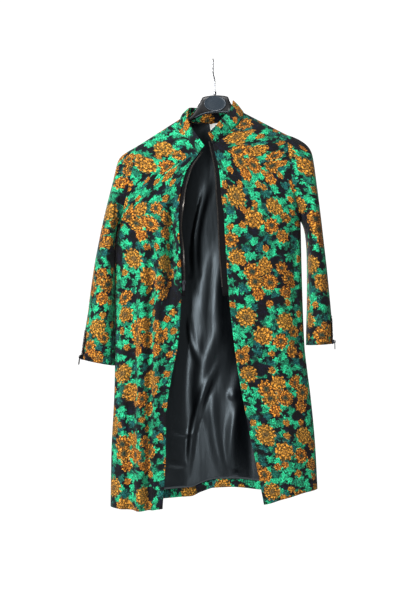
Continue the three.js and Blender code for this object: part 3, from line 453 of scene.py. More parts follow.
class Shader:
    def __init__(self, name):
        self.material = bpy.data.materials.new(name)
        self.material.use_nodes = True
        self.tree = self.material.node_tree
        self.tree.nodes.clear()

    def put(self, socket, value):
        if isinstance(value, Value):
            self.tree.links.new(value.socket, socket)
        else:
            socket.default_value = value

    def node(self, kind, settings=None, values=None):
        made = self.tree.nodes.new(kind)
        for key, value in (settings or {}).items():
            setattr(made, key, value)
        for key, value in (values or {}).items():
            self.put(made.inputs[key], value)
        return made

    def out(self, made, name):
        return Value(self, made.outputs[name])

    def split(self, vector):
        made = self.node("ShaderNodeSeparateXYZ", None, {"Vector": vector})
        return [self.out(made, axis) for axis in "XYZ"]

    def join(self, x, y, z=0.0):
        return self.out(self.node("ShaderNodeCombineXYZ", None, {"X": x, "Y": y, "Z": z}), "Vector")

    def noise(self, vector, scale, detail=2.0, rough=0.5, dimensions="3D"):
        made = self.node("ShaderNodeTexNoise", {"noise_dimensions": dimensions},
                         {"Vector": vector, "Scale": scale, "Detail": detail, "Roughness": rough})
        return self.out(made, "Fac")

    def mix(self, share, a, b):
        made = self.tree.nodes.new("ShaderNodeMix")
        made.data_type = "RGBA"
        made.clamp_factor = True
        for socket, value in zip((made.inputs[0], made.inputs[6], made.inputs[7]), (share, a, b)):
            self.put(socket, value)
        return Value(self, made.outputs[2])

    def scaled(self, colour, amount):
        colour = colour if isinstance(colour, Value) else colour[:3]
        made = self.node("ShaderNodeVectorMath", {"operation": "SCALE"},
                         {"Vector": colour, "Scale": amount})
        return self.out(made, "Vector")

    def cells(self, x, y, size, jitter, seed):
        """Scattered places: x and y from the nearest one, and three random numbers of its own."""
        x, y = x + 0.137 * seed, y + 0.211 * seed
        made = self.node("ShaderNodeTexVoronoi", {"voronoi_dimensions": "2D", "feature": "F1"},
                         {"Vector": self.join(x, y), "Scale": 1 / size, "Randomness": jitter})
        at_x, at_y, _ = self.split(self.out(made, "Position"))
        chances = self.split(self.out(made, "Color"))
        return x - at_x, y - at_y, chances

    def surface(self, colour, roughness, height=None, bump=0.3, reach=0.001, **constants):
        made = self.node("ShaderNodeBsdfPrincipled", None, {"Base Color": colour, "Roughness": roughness})
        for key, value in constants.items():
            made.inputs[key.replace("_", " ")].default_value = value
        if height is not None:
            raised = self.node("ShaderNodeBump", None,
                               {"Strength": bump, "Distance": reach, "Height": height})
            self.tree.links.new(raised.outputs["Normal"], made.inputs["Normal"])
        last = self.node("ShaderNodeOutputMaterial")
        self.tree.links.new(made.outputs["BSDF"], last.inputs["Surface"])
        return self.material


def rgb(text):
    parts = [int(text[k:k + 2], 16) / 255 for k in (0, 2, 4)]
    return tuple(p / 12.92 if p <= 0.04045 else ((p + 0.055) / 1.055) ** 2.4 for p in parts) + (1.0,)


GROUND = rgb("06080D")
LEAF = {"deep": rgb("06271F"), "mid": rgb("0C6147"), "light": rgb("24B981"), "teal": rgb("0B5352"),
        "vein": rgb("6AE0B0")}
PETAL = {"dark": rgb("1E0D05"), "mid": rgb("A8601C"), "light": rgb("F2A138"), "gold": rgb("C79A3C"),
         "olive": rgb("5A5220")}
EYE = rgb("26342D")


def turned(x, y, turn):
    c, s = turn.cos(), turn.sin()
    return x * c + y * s, y * c - x * s


def blossom(sh, x, y, radius, petals, turn, rose, tint):
    """A flower at x, y: its colour and how far it covers. Rose runs from 0, open, to 1, a full head."""
    r = (x * x + y * y).root() / radius
    a = y.angle(x) + turn
    half = petals / 2
    lobes = abs((a * half).cos())
    cover = (r - 0.80 - 0.24 * lobes ** 0.5).ramp(0.05, -0.05)
    ring = r * 2.7 + rose * 0.5 * (a * 2.0).sin()
    step = ring.math("FLOOR")
    out = ring - step
    petal = abs((a * half + step * 1.2).cos())
    light = petal ** 0.9 * (0.20 + 0.80 * out) * out.ramp(1.02, 0.88)
    colour = sh.mix(light.ramp(0.12, 0.42), PETAL["dark"], PETAL["mid"])
    colour = sh.mix(light.ramp(0.40, 0.80), colour, PETAL["light"])
    colour = sh.mix(tint, colour, sh.mix(light.ramp(0.2, 0.75), PETAL["olive"], PETAL["gold"]))
    eye = r.ramp(0.40, 0.26) * (1 - rose * 0.9)
    colour = sh.mix(eye, colour, EYE)
    stamens = abs(r - 0.27).ramp(0.10, 0.03) * abs((a * 6.0).cos()) * (1 - rose)
    return sh.mix(stamens * 0.6, colour, PETAL["olive"]), cover


FULL_TURN = 6.283
# A form is carried as a colour, so its count of petals is divided by this on the way
MOST_PETALS = 20.0

# One repeat of the print. Each row is a blossom: its place in millimetres from the front edge and below
# the hook, its radius, and its form. Each column of repeats is dropped by half a repeat.
REPEAT_WIDE, REPEAT_TALL = 0.200, 0.284
BLOSSOMS = table("u v radius petals rose tint turn", (62, -260, 21, 9, 0, 0.15, 0.2),
                 (94, -248, 18, 8, 1, 0.35, 0.9), (68, -284, 20, 11, 0, 0.30, 1.4),
                 (104, -286, 20, 16, 0, 0.10, 0.4), (74, -314, 15, 7, 1, 0.00, 2.1),
                 (136, -252, 15, 8, 0, 0.10, 0.7), (154, -278, 18, 9, 0, 0.20, 1.9),
                 (143, -312, 16, 7, 0.6, 0.05, 0.1), (38, -370, 24, 13, 0.5, 0.45, 0.3),
                 (74, -416, 23, 8, 1, 0.35, 1.2), (134, -384, 22, 9, 1, 0.50, 0.5),
                 (116, -432, 18, 10, 0, 0.05, 1.7), (156, -410, 14, 8, 0, 0.25, 0.8),
                 (143, -458, 16, 7, 0.6, 0.20, 2.4), (14, -466, 18, 9, 0, 0.15, 1.1),
                 (26, -508, 20, 12, 0.5, 0.40, 0.6))


def nearest_blossom(sh, x, y):
    """The place relative to the nearest blossom, in half-dropped columns, and that blossom's form."""
    best, offset, form = None, None, None
    for site in BLOSSOMS:
        dx = x - site["u"] / 1000
        column = (dx / REPEAT_WIDE).math("ROUND")
        dx = dx - column * REPEAT_WIDE
        dy = y - site["v"] / 1000 - column * (REPEAT_TALL / 2)
        dy = dy - (dy / REPEAT_TALL).math("ROUND") * REPEAT_TALL
        size = 1000 / site["radius"]
        dx, dy = dx * size, dy * size
        far = dx * dx + dy * dy
        here = sh.join(dx, dy, site["turn"])
        kind = (site["petals"] / MOST_PETALS, site["rose"], site["tint"], 1.0)
        if best is None:
            best, offset, form = far, here, kind
            continue
        closer = far < best
        offset, form = sh.mix(closer, offset, here), sh.mix(closer, form, kind)
        best = best.least(far)
    return sh.split(offset), sh.split(form)


def ivy(sh, x, y, radius, turn, tint):
    """An ivy leaf at x, y: its colour and how far it covers."""
    x, y = turned(x, y, turn)
    r = (x * x + y * y).root() / radius
    a = y.angle(x)
    lobes = abs((a * 2.5).cos())
    edge = (0.58 + 0.42 * lobes ** 1.4) * (0.84 + 0.18 * a.cos())
    inside = (edge - r).ramp(0.03, 0.20)
    shade = (y / radius).ramp(-0.15, 0.45)
    light = inside * (1 - 0.6 * shade)
    colour = sh.mix(light, LEAF["deep"], sh.mix(tint.ramp(0.1, 0.35), LEAF["teal"], LEAF["mid"]))
    colour = sh.mix(light * tint.ramp(0.15, 0.6), colour, LEAF["light"])
    vein = abs((a * 2.5).sin()).ramp(0.16, 0.03) * r.ramp(0.05, 0.2) * inside
    return sh.mix(vein * 0.3, colour, LEAF["vein"]), (r - edge).ramp(0.05, -0.05)


def brocade():
    sh = Shader("flowered_brocade")
    place = sh.out(sh.node("ShaderNodeUVMap", {"uv_map": "cloth"}), "UV")
    u, v, _ = sh.split(place)
    flat = {"noise_dimensions": "2D"}
    blur = sh.node("ShaderNodeTexNoise", flat, {"Vector": place, "Scale": 130.0, "Detail": 2.0})
    sway_x, sway_y, _ = sh.split(sh.out(blur, "Color"))
    frill = sh.node("ShaderNodeTexNoise", flat, {"Vector": place, "Scale": 420.0, "Detail": 0.0})
    frill_x, frill_y, _ = sh.split(sh.out(frill, "Color"))
    x = u + (sway_x - 0.5) * 0.010 + (frill_x - 0.5) * 0.0038
    y = v + (sway_y - 0.5) * 0.010 + (frill_y - 0.5) * 0.0038
    bands = sh.noise(sh.join(u * 0.55, v), 21.0, 1.0, 0.5, "2D").ramp(0.32, 0.38)
    colour = sh.mix(sh.noise(place, 60.0, 2.0, 0.5, "2D").ramp(0.45, 0.7) * 0.5, GROUND, rgb("12142A"))
    raised = 0.0
    for size, radius, jitter, seed, least in ((0.036, 0.0190, 0.8, 1, 0.05), (0.032, 0.0185, 0.8, 2, 0.06),
                                              (0.029, 0.0165, 0.85, 3, 0.25)):
        dx, dy, chance = sh.cells(x, y, size, jitter, seed)
        leaf, cover = ivy(sh, dx, dy, radius * (0.75 + 0.35 * chance[2]), chance[0] * FULL_TURN, chance[1])
        cover = cover * bands * (chance[2] > least)
        colour = sh.mix(cover, colour, leaf)
        raised = cover.most(raised)
    dx, dy, chance = sh.cells(x, y, 0.044, 0.8, 4)
    bud, cover = blossom(sh, dx, dy, 0.0085, 5.0, chance[0] * FULL_TURN, 1.0, chance[1] * 0.4)
    cover = cover * (chance[2] > 0.3)
    colour, raised = sh.mix(cover, colour, bud), cover.most(raised)
    (dx, dy, turn), (petals, rose, tint) = nearest_blossom(sh, x, y)
    petals = (petals * MOST_PETALS).math("ROUND")
    flower, cover = blossom(sh, dx, dy, 1.0, petals, turn, rose, tint)
    colour, raised = sh.mix(cover, colour, flower), cover.most(raised)
    slubs = sh.noise(sh.join(u * 0.35, v), 700.0, 1.0, 0.5, "2D")
    flecks = sh.noise(place, 330.0, 2.0, 0.7, "2D")
    colour = sh.scaled(colour, 0.20 + 1.30 * flecks.ramp(0.30, 0.66) + 0.6 * (slubs - 0.5))
    threads = abs((u * 2100.0).sin()) * abs((v * 2100.0).sin())
    height = raised * 0.6 + threads * 0.35 + flecks * 0.7
    return sh.surface(colour, 0.85, height, bump=0.6, reach=0.0012, Specular_IOR_Level=0.2,
                      Sheen_Weight=0.05)


def satin():
    sh = Shader("black_satin")
    place = sh.out(sh.node("ShaderNodeTexCoord"), "Object")
    long = sh.node("ShaderNodeMapping", None, {"Vector": place, "Scale": (1.0, 1.0, 0.22)})
    wide = sh.noise(sh.out(long, "Vector"), 26.0, 2.0, 0.5)
    fine = sh.noise(sh.out(long, "Vector"), 120.0, 3.0, 0.6)
    colour = sh.mix(wide.ramp(0.35, 0.7), rgb("030406"), rgb("06080B"))
    weave = sh.noise(place, 2200.0, 0.0)
    height = wide * 1.0 + fine * 0.035 + weave * 0.015
    return sh.surface(colour, 0.25 + 0.10 * fine, height, bump=0.45, reach=0.004, Specular_IOR_Level=0.7,
                      Specular_Tint=(0.75, 0.9, 1.0, 1.0))


def plain(name, colour, roughness, grain=0.0, scale=900.0, **constants):
    sh = Shader(name)
    place = sh.out(sh.node("ShaderNodeTexCoord"), "Object")
    speck = sh.noise(place, scale, 2.0)
    shade = sh.scaled(colour, 0.85 + 0.3 * speck)
    height = speck if grain else None
    return sh.surface(shade, roughness + 0.12 * (speck - 0.5), height, bump=grain, reach=0.0004,
                      **constants)


BROCADE = brocade()
SATIN = satin()
TAPE_CLOTH = plain("zip_tape_cloth", rgb("050507"), 0.85, 0.5, Specular_IOR_Level=0.15)
BLACK_METAL = plain("zip_black_metal", rgb("24252A"), 0.32, 0.1, 1500.0, Metallic=0.85)
TEETH = plain("zip_teeth", rgb("6A6662"), 0.30, 0.0, 1500.0, Metallic=0.9)
WHITE_TAPE = plain("white_label", rgb("F2F2EE"), 0.7, 0.3)
PLASTIC = plain("black_plastic", rgb("0A0B0E"), 0.34, 0.12, 700.0)
# Smooth black plastic for the hanger's boss and lower rim, its colour lifted to blue-grey: painted sheen
SMOOTH_PLASTIC_PAINTED_SHEEN = plain("smooth_black_plastic_painted_sheen", rgb("27313A"), 0.28, 0.05, 500.0)
STEEL = plain("bright_steel", rgb("8E9094"), 0.22, 0.0, 300.0, Metallic=1.0)
THREAD = plain("black_thread", rgb("0B0B0D"), 0.8)


# The garment

def dress(piece, nodes):
    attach(piece, BODY)
    if nodes:
        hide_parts(*nodes)


def spread(last, fine=FINE):
    return np.linspace(0, last, last * fine + 1)


COLUMNS = 72
ACROSS = np.linspace(0, 1, COLUMNS + 1)
GARMENT_ROWS = spread(ROWS)
FACING_ROW = ROWS - 0.5


def front_sheet(name):
    grid = panel(name, -1, GARMENT_ROWS, ACROSS)
    sheet = sheet_of((grid, name == "right"))
    return grid, sheet, normals_of(sheet)


def grid_normals(grid, turned_over):
    p = grid["points"]
    normal = unit(np.cross(np.gradient(p, axis=0), np.gradient(p, axis=1)))
    return -normal if turned_over else normal


FRONTS = {name: front_sheet(name) for name in ("right", "left")}
for name, (grid, sheet, normals) in FRONTS.items():
    dress(wall(f"cloth_front_{name}", sheet, CLOTH, materials=(BROCADE, SATIN), normals=normals),
          [f"front_{name}"])

back_rows = np.unique(np.append(GARMENT_ROWS, FACING_ROW))
halves = [(panel("right", 1, back_rows, ACROSS), False), (panel("left", 1, back_rows, ACROSS), True)]
back = sheet_of(*halves)
dress(wall("cloth_back", back, CLOTH, materials=(BROCADE, SATIN)), ["back"])

facing_rows = np.linspace(FACING_ROW, ROWS, 5)
within = ACROSS[2:]
facing = sheet_of((panel("right", 1, facing_rows, within), False),
                  (panel("left", 1, facing_rows, within), True))
dress(wall("cloth_hem_facing", facing, LINING, -(CLOTH + GAP), (BROCADE,)), ["hem_facing"])

# The lining has its own creases: x and z where each starts and ends, its width and its height inwards
LINING_CREASES = table("x z to_x to_z width height", (-14, -310, -42, -545, 9, 5.5),
                       (-28, -330, -70, -560, 11, -3.5), (40, -440, 4, -700, 24, 8.5),
                       (6, -670, -26, -905, 22, 8.5), (12, -760, -58, -1030, 9, 6.0),
                       (-2, -800, -40, -1080, 10, -4.0), (2, -830, 34, -1050, 11, 4.0),
                       (74, -850, 48, -1045, 13, 5.5), (58, -830, 46, -850, 9, 3.5),
                       (60, -1036, 44, -1050, 9, 3.0), (-108, -930, -44, -940, 5, 3.0),
                       (-116, -1012, -68, -1018, 5, 3.0), (-30, -536, -62, -542, 4, 2.0),
                       (-96, -700, -112, -1060, 13, 4.0), (84, -730, 66, -1040, 20, 6.5),
                       (-150, -420, -168, -1000, 16, -3.5), (150, -380, 166, -1000, 16, 4.0),
                       (-60, -640, -30, -760, 8, 2.5))


def lining_height(x, z):
    height = 0
    for c in LINING_CREASES:
        run_x, run_z = c["to_x"] - c["x"], c["to_z"] - c["z"]
        long = math.hypot(run_x, run_z)
        along = ((x - c["x"]) * run_x + (z - c["z"]) * run_z) / long
        off = ((x - c["x"]) * run_z - (z - c["z"]) * run_x) / long
        off = off - 0.06 * long * np.sin(np.pi * np.clip(along / long, 0, 1))
        ends = eased(along, -0.12 * long, 0.28 * long) * (1 - eased(along, 0.72 * long, 1.12 * long))
        height = height + c["height"] * ends * np.exp(-(off / c["width"]) ** 2)
    return height


lining_rows = np.linspace(LINING_ROW, FACING_ROW, 180)
lining_grids = []
for name, over in (("right", False), ("left", True)):
    grid = panel(name, 1, lining_rows, within, fine=False)
    p = grid["points"]
    calm = eased(np.abs(p[..., 0]), 225, 190) * eased(p[..., 2], -1070, -1040) * eased(-p[..., 2], 190, 260)
    p[..., 1] -= np.clip(lining_height(p[..., 0], p[..., 2]), -0.2, 12) * calm * 0.9
    lining_grids.append((grid, over))
lining = sheet_of(*lining_grids)
LINING_SLACK = 0.4
lining_lift = -(CLOTH + LINING + 2 * GAP + LINING_SLACK)
dress(wall("satin_lining_back", lining, LINING, lining_lift, (SATIN,)), ["lining_back"])


def polar_rows(values, places):
    """Smooth curves through rows of points, read at fractional rows."""
    index = np.arange(len(values))
    k = np.clip(np.floor(places).astype(int), 0, len(values) - 2)
    t = (places - k)[:, None, None]
    slope = np.gradient(values, index, axis=0)
    start, end, leave, arrive = values[k], values[k + 1], slope[k], slope[k + 1]
    return ((2 * t ** 3 - 3 * t ** 2 + 1) * start + (3 * t ** 2 - 2 * t ** 3) * end
            + (t ** 3 - 2 * t ** 2 + t) * leave + (t ** 3 - t ** 2) * arrive)


def sleeve_ring(section, angle):
    out, into = section["out_x"], section["in_x"]
    x = (out + into) / 2 + (out - into) * np.cos(angle) / 2
    z = (section["out_z"] + section["in_z"]) / 2 + (section["out_z"] - section["in_z"]) * np.cos(angle) / 2
    return xyz(x, section["deep"] * np.sin(angle), z)


# The line down each sleeve that its print runs round
SLEEVE_AXIS = {
    "right": table("z x", (-760, -288), (-420, -258), (-300, -225), (-200, -180)),
    "left": table("z x", (-710, 266), (-410, 250), (-290, 222), (-190, 178)),
}
SLEEVE_RADIUS = 50
SLEEVE_SHIFT = 260


def sleeve_grid(name):
    sides = 96
    angle = np.linspace(-np.pi, np.pi, sides + 1)
    arm = ARMHOLE[name]
    rings = [armhole_point(arm, angle, -TUCK)] + [sleeve_ring(s, angle) for s in SLEEVE[name]]
    rings = np.array(rings)
    places = spread(len(rings) - 1, 5)
    points = polar_rows(rings, places)
    centre = points[:, :-1].mean(axis=1)[:, None]
    out = unit(points - centre)
    along = (places / places[-1])[:, None]
    turn = (angle / (2 * np.pi) + 0.25)[None, :]
    height = 0
    for c in SLEEVE_CREASES[name]:
        around = (turn - c["turn"] + 0.5) % 1 - 0.5
        off = along - c["along"] - c["slant"] * around * 0.5
        height = height + c["height"] * np.exp(-(off / c["long"]) ** 2 - (around / c["wide"]) ** 2)
    height = height * eased(along, 0.02, 0.10) * (1 - eased(along, 0.93, 1.0))
    points = points + out * height[..., None]
    axis_x = read(SLEEVE_AXIS[name], "z", points[..., 2], "x")
    round_axis = np.unwrap(np.arctan2(arm["side"] * (points[..., 0] - axis_x), -points[..., 1]), axis=1)
    u = arm["side"] * (round_axis * SLEEVE_RADIUS + SLEEVE_SHIFT)
    uv = np.stack([u, points[..., 2]], axis=-1) / 1000
    own = np.zeros(points.shape[:-1] + (2, 3))
    own[0, :, 1] = armhole_outward(arm)
    return {"points": points, "uv": uv, "own": own}


SLEEVES = {name: sleeve_grid(name) for name in ("right", "left")}
for name, grid in SLEEVES.items():
    sheet = sheet_of((grid, name == "left"))
    dress(wall(f"cloth_sleeve_{name}", sheet, CLOTH, materials=(BROCADE, SATIN)), [f"sleeve_{name}"])


def collar_grid():
    half = np.linspace(0, 1, 40)
    ring = np.concatenate([neck_point("right", -1, half[::-1])[:-1], neck_point("right", 1, half)[:-1],
                           neck_point("left", 1, half[::-1])[:-1], neck_point("left", -1, half)])
    along = np.linspace(0, 1, len(ring))
    rise = np.stack([read(COLLAR_RISE, "along", along, axis) for axis in "xyz"], axis=-1)
    flat = ring * [1, 1, 0]
    up = np.linspace(1, 0, 9)[:, None, None]
    points = ring - unit(rise) * 2 * TUCK + rise * up + unit(flat) * COLLAR_CROWN * np.sin(np.pi * up)
    points = points - unit(flat) * TUCK * (1 - up)
    ripple = 0.9 * np.sin(along * 31) * np.exp(-((up[..., 0] - 0.35) / 0.3) ** 2)
    points = points + unit(flat) * ripple[..., None]
    steps = np.linalg.norm(np.diff(ring, axis=0), axis=-1)
    run = np.concatenate([[0], np.cumsum(steps)])
    tall = np.linalg.norm(rise, axis=-1)
    uv = np.stack([np.broadcast_to(run, tall.shape), np.zeros_like(tall)], axis=-1)
    uv = np.stack([uv + np.stack([np.zeros_like(tall), tall * k], axis=-1) for k in up[:, 0, 0]])
    return {"points": points, "uv": uv / 1000 + [0.4, -0.9]}


dress(wall("cloth_collar", sheet_of((collar_grid(), True)), CLOTH, materials=(BROCADE,)), ["collar"])


# Zip tapes beside the front edges, from the fronts' own points

def strip_wall(name, points, normals, lift, thick, turned_over, material, nodes):
    """A narrow wall from a grid of points with given normals."""
    count = points.shape[0] * points.shape[1]
    grid = {"points": points, "uv": points[..., [0, 2]] / 1000}
    sheet = sheet_of((grid, turned_over))
    lookup = {tuple(np.round(p * 1000).astype(int)): n for p, n in
              zip(points.reshape(count, 3), normals.reshape(count, 3))}
    given = np.array([lookup[tuple(np.round(p * 1000).astype(int))] for p in sheet["points"]])
    dress(wall(name, sheet, thick, lift, (material,), given), nodes)


# The share of a front tape that its teeth run down, to the zip's box, and the row's place on the tape
TEETH_END = 0.955
TEETH_INSET = 1.2
TEETH_PROUD = 0.1
TEETH_LINES, STITCH_LINES = {}, {}
for name, (grid, sheet, _) in FRONTS.items():
    rows = np.arange(len(GARMENT_ROWS))[(GARMENT_ROWS >= NECK_ROWS) & (GARMENT_ROWS <= ZIP_LAST_ROW)]
    normal = grid_normals(grid, name == "left")
    if (normal[rows[0]:, :, 1].mean()) > 0:
        normal = -normal
    edge, before = grid["points"][rows, -1], grid["points"][rows, -4]
    edge_normal, before_normal = normal[rows, -2], normal[rows, -4]
    reach = unit(edge - before)
    along = (GARMENT_ROWS[rows] - NECK_ROWS) / (ZIP_LAST_ROW - NECK_ROWS)
    wide = read(ZIP_SHOWS[name], "along", along, "wide")[:, None]
    shares = [-ZIP_UNDER, 0] + [wide * k for k in (0.33, 0.62, 0.8, 1)]
    points = np.stack([edge + reach * share for share in shares], axis=1)
    normals = np.stack([before_normal] + [edge_normal] * 5, axis=1)
    lift = -(CLOTH + GAP + TAPE_SLACK)
    strip_wall(f"tape_front_{name}", points, normals, lift, TAPE, name == "right", TAPE_CLOTH,
               [f"zip_tape_{name}"])
    toothed = along <= TEETH_END
    row_of_teeth = edge + reach * (wide - TEETH_INSET) + edge_normal * (lift + TEETH_PROUD)
    TEETH_LINES[f"front_{name}"] = (row_of_teeth[toothed], edge_normal[toothed])
    STITCH_LINES[f"front_{name}"] = (grid["points"][rows[0]:, -4], normal[rows[0]:, -4])


def cuff_sections(name, rows):
    sections = SLEEVE[name]
    last = len(sections) - 1
    span = abs(sections[last]["out_z"] - sections[last - 2]["out_z"]) / 2
    made = []
    for i in range(rows + 1):
        place = last - CUFF_ZIP["length"] / span * (rows - i) / rows
        start = min(int(place), last - 1)
        made.append({key: mixed(sections[start][key], sections[start + 1][key], place - start)
                     for key in sections[start]})
    return made


for name in ("right", "left"):
    lines = []
    for section in cuff_sections(name, 24):
        half = CUFF_ZIP["width"] / 2 / section["deep"]
        lines.append(sleeve_ring(section, CUFF_ZIP["turn"] + half * np.linspace(-1, 1, 7)))
    points = np.array(lines)
    across, down = np.gradient(points, axis=1), np.gradient(points, axis=0)
    normals = unit(np.cross(down, across))
    normals = normals * np.sign((normals * [ARMHOLE[name]["side"], 0, 0]).sum(axis=-1, keepdims=True))
    lift = GAP + TAPE + CUFF_ZIP["slack"]
    strip_wall(f"tape_cuff_{name}", points, normals, lift, TAPE, name == "left", TAPE_CLOTH,
               [f"cuff_tape_{name}"])
    middle = normals[:, 3]
    TEETH_LINES[f"cuff_{name}"] = (points[:, 3] + middle * (lift + TEETH_PROUD), middle)
    for side, column in (("front", 1), ("back", 5)):
        normal = normals[:, column]
        STITCH_LINES[f"cuff_{name}_{side}"] = (points[:, column] + normal * lift, normal)


# Zip teeth and stitches: one small block repeated along each line

TOOTH = {"pitch": 2.9, "size": (4.0, 1.7, 2.0), "bevel": 0.4}
STITCH = {"pitch": 3.2, "size": (0.7, 2.4, 0.6), "bevel": 0.15}


def block_mesh(name, shape, material):
    mesh = bpy.data.meshes.new(name)
    x, y, z = np.array(shape["size"]) / 2000
    b = shape["bevel"] / 1000
    turns = ((-1, -1), (1, -1), (1, 1), (-1, 1))
    corners = [(sx * (x - b), sy * (y - b), sz * z) for sz in (-1, 1) for sx, sy in turns]
    rims = [(sx * x, sy * y, 0) for sx, sy in turns]
    faces = [(3, 2, 1, 0), (4, 5, 6, 7)]
    for k in range(4):
        n = (k + 1) % 4
        faces += [(k, n, 8 + n, 8 + k), (8 + k, 8 + n, 4 + n, 4 + k)]
    mesh.from_pydata(corners + rims, [], faces)
    mesh.materials.append(material)
    return mesh


def repeater():
    """A node group that sets a block along a line, turned by the line's direction and normal."""
    group = bpy.data.node_groups.new("repeat_along", "GeometryNodeTree")
    for label, kind in (("Line", "Geometry"), ("Block", "Object"), ("Pitch", "Float"),
                        ("Size spread", "Float"), ("Material", "Material")):
        group.interface.new_socket(label, in_out="INPUT", socket_type=f"NodeSocket{kind}")
    group.interface.new_socket("Geometry", in_out="OUTPUT", socket_type="NodeSocketGeometry")

    def node(kind, settings=None, links=None):
        made = group.nodes.new(kind)
        for key, value in (settings or {}).items():
            setattr(made, key, value)
        for key, value in (links or {}).items():
            if isinstance(value, bpy.types.NodeSocket):
                group.links.new(value, made.inputs[key])
            else:
                made.inputs[key].default_value = value
        return made

    given = node("NodeGroupInput").outputs
    curve = node("GeometryNodeMeshToCurve", None, {"Mesh": given["Line"]})
    resampled = node("GeometryNodeResampleCurve", {"mode": "LENGTH"},
                     {"Curve": curve.outputs["Curve"], "Length": given["Pitch"]})
    to_points = node("GeometryNodeCurveToPoints", {"mode": "EVALUATED"},
                     {"Curve": resampled.outputs["Curve"]})
    named = node("GeometryNodeInputNamedAttribute", {"data_type": "FLOAT_VECTOR"}, {"Name": "facing"})
    first = node("FunctionNodeAlignRotationToVector", {"axis": "Y"},
                 {"Vector": to_points.outputs["Tangent"]})
    aligned = node("FunctionNodeAlignRotationToVector", {"axis": "Z", "pivot_axis": "Y"},
                   {"Rotation": first.outputs["Rotation"], "Vector": named.outputs["Attribute"]})
    block = node("GeometryNodeObjectInfo", None, {"Object": given["Block"]})
    chance = node("FunctionNodeRandomValue", {"data_type": "FLOAT"}, {"Seed": 7})
    low = node("ShaderNodeMath", {"operation": "SUBTRACT"}, {0: 1.0, 1: given["Size spread"]})
    group.links.new(low.outputs[0], chance.inputs[2])
    chance.inputs[3].default_value = 1.0
    placed = node("GeometryNodeInstanceOnPoints", None,
                  {"Points": to_points.outputs["Points"], "Instance": block.outputs["Geometry"],
                   "Rotation": aligned.outputs["Rotation"], "Scale": chance.outputs[1]})
    real = node("GeometryNodeRealizeInstances", None, {"Geometry": placed.outputs["Instances"]})
    coloured = node("GeometryNodeSetMaterial", None, {"Geometry": real.outputs["Geometry"],
                                                      "Material": given["Material"]})
    node("NodeGroupOutput", None, {"Geometry": coloured.outputs["Geometry"]})
    return group


REPEAT = repeater()
SIZE_SPREAD = 0.08


def repeated(name, points, normals, shape, material):
    mesh = bpy.data.meshes.new(name + "_line")
    mesh.from_pydata([tuple(p) for p in points / 1000], [(k, k + 1) for k in range(len(points) - 1)], [])
    facing = mesh.attributes.new("facing", "FLOAT_VECTOR", "POINT")
    facing.data.foreach_set("vector", np.ascontiguousarray(normals, dtype=float).ravel())
    line = bpy.data.objects.new(name + "_line", mesh)
    block = bpy.data.objects.new(name + "_block", block_mesh(name + "_block", shape, material))
    for made in (line, block):
        bpy.context.scene.collection.objects.link(made)
    modifier = line.modifiers.new("repeat", "NODES")
    modifier.node_group = REPEAT
    sockets = {item.name: item.identifier for item in REPEAT.interface.items_tree if item.in_out == "INPUT"}
    modifier[sockets["Block"]] = block
    modifier[sockets["Pitch"]] = shape["pitch"] / 1000
    modifier[sockets["Size spread"]] = SIZE_SPREAD
    modifier[sockets["Material"]] = material
    bpy.context.view_layer.update()
    made = bpy.data.meshes.new_from_object(line.evaluated_get(bpy.context.evaluated_depsgraph_get()))
    for gone in (line, block):
        bpy.data.objects.remove(gone, do_unlink=True)
    piece = bpy.data.objects.new(name, made)
    bpy.context.scene.collection.objects.link(piece)
    dress(piece, [])


for name, (points, normals) in TEETH_LINES.items():
    repeated(f"teeth_{name}", points, normals, TOOTH, TEETH)
for name, (points, normals) in STITCH_LINES.items():
    repeated(f"stitches_{name}", points, normals, STITCH, THREAD)


# The label sewn to the lining

def back_point(x, z):
    """The back panel's outer point at x and z, near the neck."""
    name = "right" if x < NECK_BACK[0] else "left"
    row = float(NECK_ROWS)
    for _ in range(12):
        here = np.array([[row]])
        outer, inner = outer_edge(name, 1, here)[0, 0, 0], inner_edge(name, 1, here)[0, 0, 0]
        over = min((x - outer) / (inner - outer), 1)
        point = panel(name, 1, [row], [over ** (1 / CROWDING), 1], fine=False)["points"][0, 0]
        row += (point[2] - z) / ROW_FALL
    return point


def label_grid():
    down, right = np.meshgrid(np.linspace(0, 1, 9), np.linspace(0, 1, 15), indexing="ij")
    xs = LABEL["x"] + LABEL["wide"] * right + LABEL["lean"] * down
    zs = LABEL["z"] + LABEL["rise"] * right - LABEL["tall"] * down
    points = np.array([[back_point(x, z) for x, z in zip(*line)] for line in zip(xs, zs)])
    points[..., 1] -= 0.9 * (1 - (2 * right - 1) ** 2) * down
    return {"points": points, "uv": points[..., [0, 2]] / 1000}


label = sheet_of((label_grid(), False))
label_lift = -(CLOTH + 2 * LINING + 3 * GAP + LABEL["slack"])
dress(wall("label_tape", label, LABEL["thick"], label_lift, (WHITE_TAPE,)),
      ["label"])


# The hanger: a smooth loft through its sections, with an oval boss and a raised lower rim

def tube(name, rings, materials):
    rings = np.asarray(rings)
    count, sides = rings.shape[:2]
    faces = []
    for i in range(count - 1):
        for j in range(sides):
            k = (j + 1) % sides
            faces.append([i * sides + j, i * sides + k, (i + 1) * sides + k, (i + 1) * sides + j])
    faces.append(list(range(sides - 1, -1, -1)))
    faces.append([(count - 1) * sides + j for j in range(sides)])
    return mesh_object(name, rings.reshape(-1, 3), faces, None, [0] * len(faces), materials)


RING_SIDES = 36
SQUARENESS = 0.82


def flattened(wave):
    return np.sign(wave) * np.abs(wave) ** SQUARENESS


def rounded_ring(x, top, low, deep):
    angle = np.linspace(0, 2 * np.pi, RING_SIDES, endpoint=False)
    return xyz(x, deep * flattened(np.cos(angle)),
               (top + low) / 2 + (top - low) / 2 * flattened(np.sin(angle)))


xs = np.unique(np.concatenate([np.linspace(-197, -70, 40), np.linspace(-70, 68, 90),
                               np.linspace(68, 195, 40)]))
top, low, deep = (read(HANGER, "x", xs, key) for key in ("top", "low", "deep"))
rings = [rounded_ring(x, t, l, d) for x, t, l, d in zip(xs, top, low, deep)]
